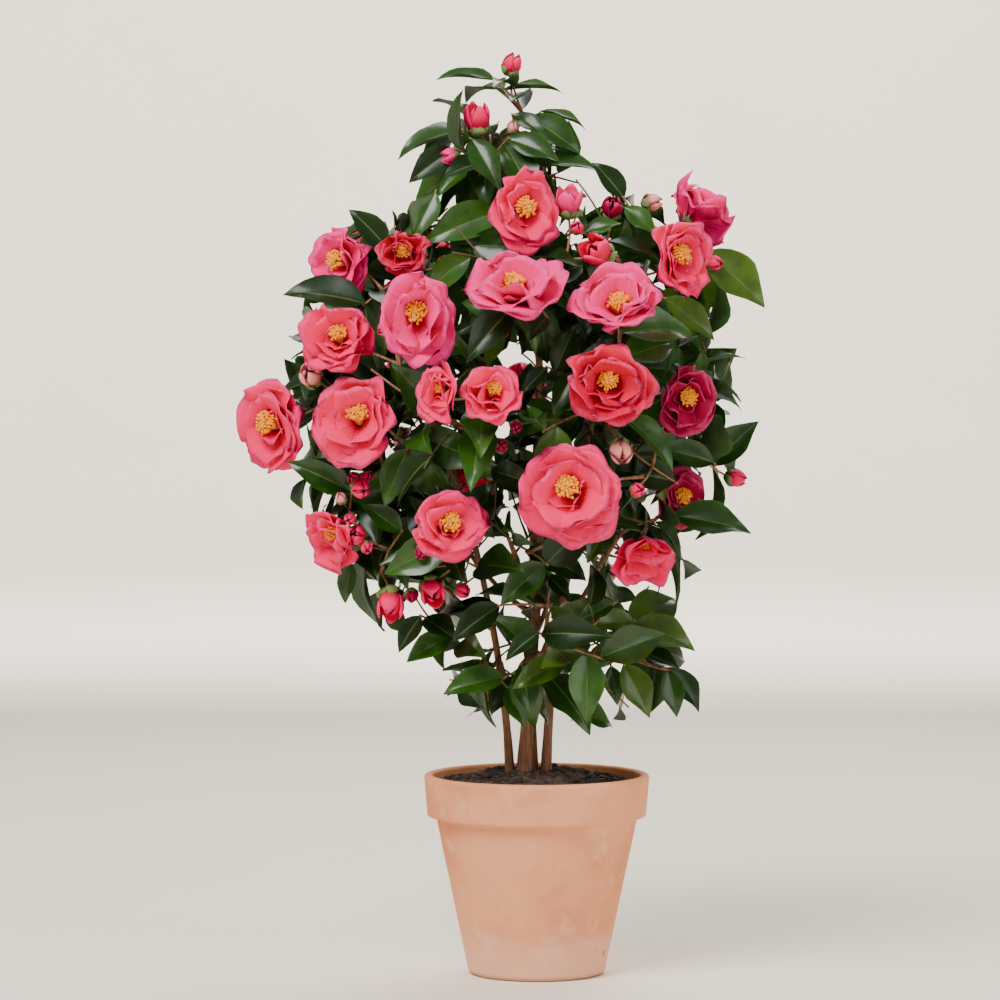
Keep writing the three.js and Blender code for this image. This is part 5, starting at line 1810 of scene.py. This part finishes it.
def stretched(tree, place, scale):
    return node(tree, "ShaderNodeMapping", {"Vector": place, "Scale": scale}).outputs["Vector"]


def group(name, inputs, output):
    """A new node group with named inputs and one output: its tree and its two ends."""
    tree = bpy.data.node_groups.new(name, "ShaderNodeTree")
    for label, kind, value in inputs:
        socket = tree.interface.new_socket(label, in_out="INPUT", socket_type=kind)
        if value is not None:
            socket.default_value = value
    label, kind = output
    tree.interface.new_socket(label, in_out="OUTPUT", socket_type=kind)
    return tree, tree.nodes.new("NodeGroupInput").outputs, tree.nodes.new("NodeGroupOutput").inputs[label]


@lru_cache(maxsize=1)
def mottle_group():
    """Patches of a second colour over a first, at one size, with a finer grain in them."""
    tree, given, result = group("Mottle", (
        ("Vector", "NodeSocketVector", None), ("Scale", "NodeSocketFloat", 40.0),
        ("First", "NodeSocketColor", None), ("Second", "NodeSocketColor", None),
        ("Low", "NodeSocketFloat", 0.4), ("High", "NodeSocketFloat", 0.65)), ("Color", "NodeSocketColor"))
    cloud = clouds(tree, given["Vector"], given["Scale"], 5.0, Roughness=0.6)
    mask = ranged(tree, cloud, given["Low"], given["High"])
    give(tree, result, mixed(tree, mask, given["First"], given["Second"]))
    return tree


@lru_cache(maxsize=1)
def relief_group():
    """A height made of a coarse and a fine grain."""
    tree, given, result = group("Relief", (
        ("Vector", "NodeSocketVector", None), ("Coarse", "NodeSocketFloat", 60.0),
        ("Fine", "NodeSocketFloat", 400.0), ("Share", "NodeSocketFloat", 0.4)), ("Height", "NodeSocketFloat"))
    coarse = clouds(tree, given["Vector"], given["Coarse"], 3.0)
    fine = clouds(tree, given["Vector"], given["Fine"], 2.0)
    give(tree, result, node(tree, "ShaderNodeMix", {0: given["Share"], 2: coarse, 3: fine}).outputs[0])
    return tree


def mottled(tree, place, scale, first, second, low=0.4, high=0.65):
    """A colour from the mottle group."""
    return node(tree, "ShaderNodeGroup", {
        "Vector": place, "Scale": scale, "First": first, "Second": second, "Low": low, "High": high,
    }, node_tree=mottle_group()).outputs["Color"]


def bumped(tree, place, coarse, fine, share, strength, distance):
    """A normal from the relief group."""
    height = node(tree, "ShaderNodeGroup", {
        "Vector": place, "Coarse": coarse, "Fine": fine, "Share": share,
    }, node_tree=relief_group()).outputs["Height"]
    return node(tree, "ShaderNodeBump", {
        "Strength": strength, "Distance": distance, "Height": height}).outputs["Normal"]


def new_material(name, roughness, specular=0.5):
    """A material with a Principled shader: its tree, the shader's inputs and its coordinates."""
    material = bpy.data.materials.new(name)
    material.use_nodes = True
    tree = material.node_tree
    shader = tree.nodes["Principled BSDF"].inputs
    shader["Roughness"].default_value = roughness
    shader["Specular IOR Level"].default_value = specular
    spots = tree.nodes.new("ShaderNodeTexCoord").outputs
    return material, tree, shader, spots


def add_glow(shader, weight, radius, scale):
    shader["Subsurface Weight"].default_value = weight
    shader["Subsurface Radius"].default_value = radius
    shader["Subsurface Scale"].default_value = scale


def clay_material(looks):
    """Unglazed clay: uneven colour, a chalky bloom of lime, fine turning lines and damp near the foot."""
    material, tree, shader, spots = new_material("terracotta", 0.86, 0.28)
    place = spots["Object"]
    height = node(tree, "ShaderNodeSeparateXYZ", {"Vector": place}).outputs["Z"]
    base = mottled(tree, place, 9, looks.clay, looks.clay_warm, 0.38, 0.66)
    base = mottled(tree, place, 34, base, looks.clay_pale, 0.5, 0.86)
    cloud = clouds(tree, place, 17.0, 6.0)
    low = ranged(tree, height, 0.0, 0.075, 0.75, 0)
    lime = ranged(tree, sum_of(tree, cloud, low), 0.62, 1.15, 0, looks.lime)
    base = mixed(tree, lime, base, looks.clay_lime)
    grain = clouds(tree, place, 900.0, 2.0)
    base = mixed(tree, ranged(tree, grain, 0.62, 0.78, 0, 0.4), base, looks.clay_dark)
    foot = ranged(tree, height, 0.0, 0.006, 0.5, 0)
    base = mixed(tree, foot, base, looks.clay_dark)
    for spot, size, share in DAMP_SPOTS:
        middle = [value * MM for value in spot]
        away = node(tree, "ShaderNodeVectorMath", {0: place, 1: middle}, operation="DISTANCE")
        worn = sum_of(tree, away.outputs["Value"], sum_of(tree, cloud, size * MM, "MULTIPLY"))
        damp = ranged(tree, worn, size * MM, size * MM * 1.25, share, 0)
        base = mixed(tree, damp, base, looks.clay_damp)
    give(tree, shader["Base Color"], base)
    turning = clouds(tree, stretched(tree, place, (3, 3, 260)), 1.0, 2.0)
    rough = bumped(tree, place, 120, 1100, 0.5, 0.35, 0.0012)
    normal = node(tree, "ShaderNodeBump", {
        "Strength": 0.16, "Distance": 0.0012, "Height": turning, "Normal": rough}).outputs["Normal"]
    give(tree, shader["Normal"], normal)
    return material


def mix_material(looks):
    """Moist dark potting mix."""
    material, tree, shader, spots = new_material("potting_mix", 0.95, 0.2)
    place = spots["Object"]
    base = mottled(tree, place, 60, looks.mix_dark, looks.mix_light, 0.42, 0.7)
    give(tree, shader["Base Color"], mottled(tree, place, 420, base, looks.mix_chip, 0.62, 0.8))
    give(tree, shader["Normal"], bumped(tree, place, 180, 900, 0.5, 0.7, 0.002))
    return material


def shaded(colour, share):
    """A colour darkened to a share of itself."""
    return [value * share for value in colour[:3]]


def bark_material(name, pale, deep, roughness=0.72):
    """Thin bark: long streaks up the stem and a fine grain."""
    material, tree, shader, spots = new_material(name, roughness, 0.35)
    place = spots["Object"]
    long = stretched(tree, place, (1, 1, 0.16))
    base = mottled(tree, long, 220, pale, deep, 0.38, 0.68)
    give(tree, shader["Base Color"], mottled(tree, place, 70, base, shaded(deep, 0.55), 0.6, 0.8))
    give(tree, shader["Normal"], bumped(tree, long, 260, 1200, 0.4, 0.5, 0.0006))
    return material


def leaf_material(name, colour, roughness, coat=0.0):
    """A leaf's skin: nearly even green, with faint clouds and a soft unevenness in its gloss."""
    material, tree, shader, spots = new_material(name, roughness, 0.2)
    place = spots["Object"]
    give(tree, shader["Base Color"], mottled(tree, place, 55, colour, shaded(colour, 0.7), 0.42, 0.66))
    give(tree, shader["Normal"], bumped(tree, place, 90, 420, 0.35, 0.3, 0.0012))
    shader["Coat Weight"].default_value = coat
    shader["Coat Roughness"].default_value = COAT_ROUGHNESS
    add_glow(shader, *LEAF_GLOW)
    return material


def petal_material(name, colour, edge, deep, glow):
    """A petal: darker at its root with painted shade, paler at its rim, with faint veins that fan out along
    it.
    """
    material, tree, shader, spots = new_material(name, 0.6, 0.12)
    sheet = node(tree, "ShaderNodeSeparateXYZ", {"Vector": spots["UV"]}).outputs
    cloud = clouds(tree, spots["Object"], 42.0, 2.0)
    # Painted shade: the colour darkens towards the petal's root.
    out = sum_of(tree, sheet["Y"], sum_of(tree, cloud, 0.5, "MULTIPLY"))
    base = mixed(tree, ranged(tree, out, 0.42, 0.95), deep, colour)
    aside = sum_of(tree, sum_of(tree, sheet["X"], 0.5, "SUBTRACT"), 0, "ABSOLUTE")
    far = sum_of(tree, sum_of(tree, aside, 2, "MULTIPLY"), sheet["Y"], "MAXIMUM")
    rim = ranged(tree, sum_of(tree, far, sum_of(tree, cloud, 0.16, "MULTIPLY")), 0.92, 1.1, 0, 0.75)
    base = mixed(tree, rim, base, edge)
    vein = clouds(tree, stretched(tree, spots["UV"], (26, 1.6, 1)), 1.0, 2.0)
    give(tree, shader["Base Color"], mixed(tree, ranged(tree, vein, 0.5, 0.75, 0, 0.3), base, deep))
    normal = node(tree, "ShaderNodeBump", {"Strength": 0.3, "Distance": 0.0008, "Height": vein})
    give(tree, shader["Normal"], normal.outputs["Normal"])
    add_glow(shader, glow, *PETAL_GLOW)
    return material


def plain_material(name, colour, roughness, darker=0.75, scale=300):
    """A small part with a little unevenness in its colour."""
    material, tree, shader, spots = new_material(name, roughness, 0.4)
    place = spots["Object"]
    give(tree, shader["Base Color"], mottled(tree, place, scale, colour, shaded(colour, darker), 0.4, 0.66))
    give(tree, shader["Normal"], bumped(tree, place, scale, scale * 4, 0.4, 0.2, 0.0006))
    return material


def leaf_materials(looks):
    """One material for each tone of leaves, from the inner ones with their painted shade out, then the back
    and the midrib.
    """
    roughness = 0.5 - 0.3 * looks.gloss
    return [
        leaf_material("leaf_inner", looks.inner, roughness, looks.gloss * 0.4),
        leaf_material("leaf_dark", looks.dark, roughness, looks.gloss),
        leaf_material("leaf_green", looks.green, roughness, looks.gloss),
        leaf_material("leaf_fresh", looks.fresh, roughness, looks.gloss),
        leaf_material("leaf_underside", looks.underside, 0.62),
        leaf_material("leaf_midrib", looks.midrib, 0.45)]


def petal_materials(looks):
    """One material for each tone of petals, and one for the sepals."""
    made = []
    for tone in TONE_NAMES:
        colour = getattr(looks, tone)
        edge = [value + (target - value) * looks.edge_share for value, target in zip(colour, looks.edge)]
        # Painted shade at the petals' roots, which the faint veins take too.
        deep = [value * share for value, share in zip(colour, PETAL_ROOT_SHADE_AND_VEIN)]
        made.append(petal_material(f"petal_{tone}", colour, edge, deep, looks.glow))
    made.append(leaf_material("sepal", looks.sepal, 0.5))
    return made


# Stage.

FLOOR_FLAT = 7.0
FLOOR_CURVE = 2.0
WALL_TOP = 2.8
FLOOR_STEPS = 96
PLANT_MIDDLE = (0, 0, 0.5)
WALL_MIDDLE = (0, 8.6, 1.2)

# Lamps: name, the setting of its power, width, place, and what it is aimed at.
LAMPS = (
    ("key_light", "key_power", 1.8, (-1.3, -2.1, 3.1), PLANT_MIDDLE),
    ("fill_light", "fill_power", 2.2, (2.4, -2.2, 1.3), PLANT_MIDDLE),
    ("back_light", "rim_power", 2.4, (0.5, 1.9, 3.0), PLANT_MIDDLE),
    ("wall_light", "wall_power", 5.0, (0, 4.6, 3.4), WALL_MIDDLE),
)
SKY_COLOUR = (0.93, 0.93, 0.92, 1)
SENSOR_WIDTH = 36


def add_object(name, data):
    made = bpy.data.objects.new(name, data)
    bpy.context.scene.collection.objects.link(made)
    return made


def aim_down(thing, place, target):
    """Puts a lamp or a camera at a place and turns it to look at its target."""
    thing.location = place
    thing.rotation_euler = (Vector(target) - Vector(place)).to_track_quat("-Z", "Y").to_euler()


def build_floor(looks):
    """The plain floor, which curves up to a plain wall far behind the plant and all round it."""
    profile = [
        (0, 0), (FLOOR_FLAT / 2, 0), *arc((FLOOR_FLAT, FLOOR_CURVE), FLOOR_CURVE, -90, 0, 12),
        (FLOOR_FLAT + FLOOR_CURVE, WALL_TOP)]
    floor = add_object("floor", as_mesh(lathed_sheet(profile, FLOOR_STEPS), "floor"))
    material, tree, shader, spots = new_material("floor", 0.9, 0.2)
    plain = mottled(tree, spots["Object"], 1.5, looks.floor, shaded(looks.floor, 0.98))
    give(tree, shader["Base Color"], plain)
    floor.data.materials.append(material)


def build_lights(looks):
    for name, power, size, place, target in LAMPS:
        light = bpy.data.lights.new(name, "AREA")
        light.energy = getattr(looks, power)
        light.size = size
        aim_down(add_object(name, light), place, target)
    world = bpy.data.worlds.new("studio")
    world.use_nodes = True
    background = world.node_tree.nodes["Background"].inputs
    background["Color"].default_value = SKY_COLOUR
    background["Strength"].default_value = looks.sky
    bpy.context.scene.world = world


def build_camera():
    """The camera at the photograph's eye, level with the middle of its frame."""
    camera = add_object("camera", bpy.data.cameras.new("camera"))
    eye = Vector((EYE_SIDE, -EYE_DISTANCE, EYE_HEIGHT)) * MM
    middle = Vector((EYE_SIDE, 0, (GROUND_PIXEL - FRAME_PIXELS / 2) * MM_PER_PIXEL)) * MM
    aim_down(camera, eye, middle)
    camera.data.sensor_width = SENSOR_WIDTH
    camera.data.lens = SENSOR_WIDTH * (middle - eye).length / (FRAME_PIXELS * MM_PER_PIXEL * MM)
    bpy.context.scene.camera = camera


# Settings, operators and panel.

def colour_setting(name, description, default):
    return bpy.props.FloatVectorProperty(
        name=name, description=description, default=default, size=3, subtype="COLOR", min=0, max=1)


def share_setting(name, description, default):
    return bpy.props.FloatProperty(
        name=name, description=description, default=default, subtype="FACTOR", min=0, max=1)


def length_setting(name, description, default):
    return bpy.props.FloatProperty(
        name=name, description=description, default=default, subtype="DISTANCE", unit="LENGTH", min=0,
        precision=5)


def power_setting(name, description, default):
    return bpy.props.FloatProperty(name=name, description=description, default=default, unit="POWER", min=0)


class CamelliaPotLooks(bpy.types.PropertyGroup):
    clay: colour_setting("Clay", "Main colour of the clay", (0.80, 0.34, 0.17))
    clay_warm: colour_setting("Warm clay", "Redder patches in the clay", (0.66, 0.24, 0.105))
    clay_pale: colour_setting("Pale clay", "Paler patches in the clay", (0.84, 0.45, 0.27))
    clay_lime: colour_setting("Lime", "Chalky bloom on the clay", (0.84, 0.56, 0.40))
    clay_dark: colour_setting("Damp clay", "Damp foot and dark grains", (0.33, 0.17, 0.11))
    clay_damp: colour_setting("Damp spots", "Brown damp places low on the pot", (0.34, 0.13, 0.07))
    lime: share_setting("Lime share", "How strongly the chalky bloom shows", 0.45)
    pot_unevenness: length_setting("Unevenness", "How far the wall wanders from true round", 0.0009)
    mix_dark: colour_setting("Mix", "Main colour of the potting mix", (0.045, 0.03, 0.022))
    mix_light: colour_setting("Drier mix", "Drier patches of the mix", (0.11, 0.078, 0.058))
    mix_chip: colour_setting("Chips", "Light grains in the mix", (0.26, 0.19, 0.14))
    crumb_count: bpy.props.IntProperty(
        name="Crumbs", description="How many crumbs lie on the mix", default=900, min=0)


class CamelliaBarkLooks(bpy.types.PropertyGroup):
    bark: colour_setting("Bark", "Pale streaks of the bark", (0.32, 0.15, 0.075))
    bark_deep: colour_setting("Deep bark", "Dark streaks of the bark", (0.15, 0.06, 0.03))
    young: colour_setting("Young twig", "Twigs of the year", (0.07, 0.055, 0.018))
    young_deep: colour_setting("Young twig, ripening", "Twigs that turn brown", (0.075, 0.032, 0.016))
    twig_width: length_setting("Twig width", "How thick a twig is in its middle", 0.0026)
    bark_relief: length_setting("Bark relief", "How far the bark's ridges stand out", 0.0003)


class CamelliaLeafLooks(bpy.types.PropertyGroup):
    # Painted shade: leaves deep in the crown are given this darker colour.
    inner: colour_setting("Inner leaves", "The oldest leaves, deep in the crown", (0.006, 0.022, 0.002))
    dark: colour_setting("Dark leaves", "Most leaves", (0.013, 0.048, 0.003))
    green: colour_setting("Green leaves", "Leaves that face the light", (0.023, 0.078, 0.004))
    fresh: colour_setting("Fresh leaves", "Young leaves at some tips", (0.046, 0.098, 0.006))
    underside: colour_setting("Underside", "The matt back of the leaves", (0.034, 0.075, 0.020))
    midrib: colour_setting("Midrib", "The pale rib along a leaf", (0.070, 0.120, 0.024))
    leaf_thickness: length_setting("Thickness", "How thick a leaf is", 0.0008)
    leaf_width: share_setting("Width", "A leaf's width as a share of its length", 0.5)
    gloss: share_setting("Gloss", "How glossy the upper side is", 0.42)


class CamelliaBloomLooks(bpy.types.PropertyGroup):
    coral: colour_setting("Coral", "Most petals", (0.92, 0.002, 0.108))
    rose: colour_setting("Rose", "Lighter blooms", (0.96, 0.009, 0.215))
    crimson: colour_setting("Crimson", "Deeper blooms", (0.62, 0.001, 0.038))
    # Painted shade on the blooms that lie in shade; tight buds have this deeper colour of their own.
    wine: colour_setting("Wine", "Blooms in the shade, and tight buds", (0.30, 0.001, 0.036))
    pale: colour_setting("Pale", "Pale buds", (0.90, 0.33, 0.29))
    edge: colour_setting("Petal edge", "The pale rim of the petals", (0.97, 0.10, 0.33))
    sepal: colour_setting("Sepals", "Scales behind blooms and buds", (0.15, 0.20, 0.06))
    edge_share: share_setting("Edge share", "How pale the rims are", 0.6)
    ruffle: share_setting("Ruffle", "How wavy the petals are", 0.7)
    glow: share_setting("Glow", "How much light passes through the petals", 0.12)
    petal_thickness: length_setting("Petal thickness", "How thick a petal is", 0.0006)
    filament: colour_setting("Filaments", "Stalks of the stamens", (1.0, 0.44, 0.06))
    anther: colour_setting("Anthers", "Tips of the stamens", (1.0, 0.40, 0.0))
    stamen_count: bpy.props.IntProperty(name="Stamens", description="Stamens in a bloom", default=96, min=1)


class CamelliaStageLooks(bpy.types.PropertyGroup):
    floor: colour_setting("Floor", "The plain floor", (0.90, 0.82, 0.69))
    key_power: power_setting("Key light", "Power of the main light", 185)
    fill_power: power_setting("Fill light", "Power of the light on the other side", 44)
    rim_power: power_setting("Back light", "Power of the light from behind", 115)
    wall_power: power_setting("Wall light", "Power of the light on the wall", 540)
    sky: bpy.props.FloatProperty(
        name="Sky", description="Strength of the even light from all round", default=0.36, min=0)


class CAMELLIA_OT_stage(bpy.types.Operator):
    """Adds the floor, the lights and the camera at the photograph's viewing angle"""
    bl_idname = "camellia.stage"
    bl_label = "Stage"

    def execute(self, context):
        looks = context.scene.camellia_stage
        build_floor(looks)
        build_lights(looks)
        build_camera()
        return {"FINISHED"}


class CAMELLIA_OT_pot(bpy.types.Operator):
    """Adds the clay pot"""
    bl_idname = "camellia.pot"
    bl_label = "Pot"

    def execute(self, context):
        looks = context.scene.camellia_pot
        build_pot(looks, [clay_material(looks)])
        return {"FINISHED"}


class CAMELLIA_OT_mix(bpy.types.Operator):
    """Adds the crumbly surface of the potting mix"""
    bl_idname = "camellia.mix"
    bl_label = "Potting mix"

    def execute(self, context):
        looks = context.scene.camellia_pot
        build_mix(looks, [mix_material(looks)])
        return {"FINISHED"}


class CAMELLIA_OT_limbs(bpy.types.Operator):
    """Adds the stems and boughs with their bark"""
    bl_idname = "camellia.limbs"
    bl_label = "Stems and boughs"

    def execute(self, context):
        looks = context.scene.camellia_bark
        build_limbs(looks, [bark_material("bark", looks.bark, looks.bark_deep)])
        return {"FINISHED"}


class CAMELLIA_OT_twigs(bpy.types.Operator):
    """Adds the twigs"""
    bl_idname = "camellia.twigs"
    bl_label = "Twigs"

    def execute(self, context):
        looks = context.scene.camellia_bark
        build_twigs(looks, [
            bark_material("twig_brown", looks.bark, looks.bark_deep),
            bark_material("twig_green", looks.young, looks.young_deep, 0.6)])
        return {"FINISHED"}


class CAMELLIA_OT_leaves(bpy.types.Operator):
    """Adds the leaves"""
    bl_idname = "camellia.leaves"
    bl_label = "Leaves"

    def execute(self, context):
        looks = context.scene.camellia_leaves
        build_leaves(looks, leaf_materials(looks))
        return {"FINISHED"}


class CAMELLIA_OT_blooms(bpy.types.Operator):
    """Adds the blooms and their stamens"""
    bl_idname = "camellia.blooms"
    bl_label = "Blooms"

    def execute(self, context):
        looks = context.scene.camellia_blooms
        build_blooms(looks, petal_materials(looks))
        build_stamens(looks, [
            plain_material("filament", looks.filament, 0.5),
            plain_material("anther", looks.anther, 0.7, 0.7, 900)])
        return {"FINISHED"}


class CAMELLIA_OT_buds(bpy.types.Operator):
    """Adds the buds"""
    bl_idname = "camellia.buds"
    bl_label = "Buds"

    def execute(self, context):
        build_buds(petal_materials(context.scene.camellia_blooms))
        return {"FINISHED"}


OPERATORS = (
    CAMELLIA_OT_stage, CAMELLIA_OT_pot, CAMELLIA_OT_mix, CAMELLIA_OT_limbs, CAMELLIA_OT_twigs,
    CAMELLIA_OT_leaves, CAMELLIA_OT_blooms, CAMELLIA_OT_buds)


class CAMELLIA_PT_parts(bpy.types.Panel):
    """Lists the parts of the potted camellia"""
    bl_idname = "CAMELLIA_PT_parts"
    bl_label = "Potted Camellia"
    bl_space_type = "VIEW_3D"
    bl_region_type = "UI"
    bl_category = "Camellia"

    def draw(self, context):
        for operator in OPERATORS:
            self.layout.operator(operator.bl_idname)
        for name in SETTINGS:
            looks = getattr(context.scene, name)
            box = self.layout.box()
            for key in looks.bl_rna.properties.keys():
                if key not in ("rna_type", "name"):
                    box.prop(looks, key)


SETTINGS = {
    "camellia_stage": CamelliaStageLooks,
    "camellia_pot": CamelliaPotLooks,
    "camellia_bark": CamelliaBarkLooks,
    "camellia_leaves": CamelliaLeafLooks,
    "camellia_blooms": CamelliaBloomLooks,
}
CLASSES = (*SETTINGS.values(), *OPERATORS, CAMELLIA_PT_parts)


def register():
    for one in CLASSES:
        bpy.utils.register_class(one)
    for name, kind in SETTINGS.items():
        setattr(bpy.types.Scene, name, bpy.props.PointerProperty(type=kind))


def unregister():
    for name in SETTINGS:
        delattr(bpy.types.Scene, name)
    for one in reversed(CLASSES):
        bpy.utils.unregister_class(one)


def main():
    register()
    bpy.ops.camellia.stage()
    bpy.ops.camellia.pot()
    bpy.ops.camellia.mix()
    bpy.ops.camellia.limbs()
    bpy.ops.camellia.twigs()
    bpy.ops.camellia.leaves()
    bpy.ops.camellia.blooms()
    bpy.ops.camellia.buds()


if __name__ == "__main__":
    main()
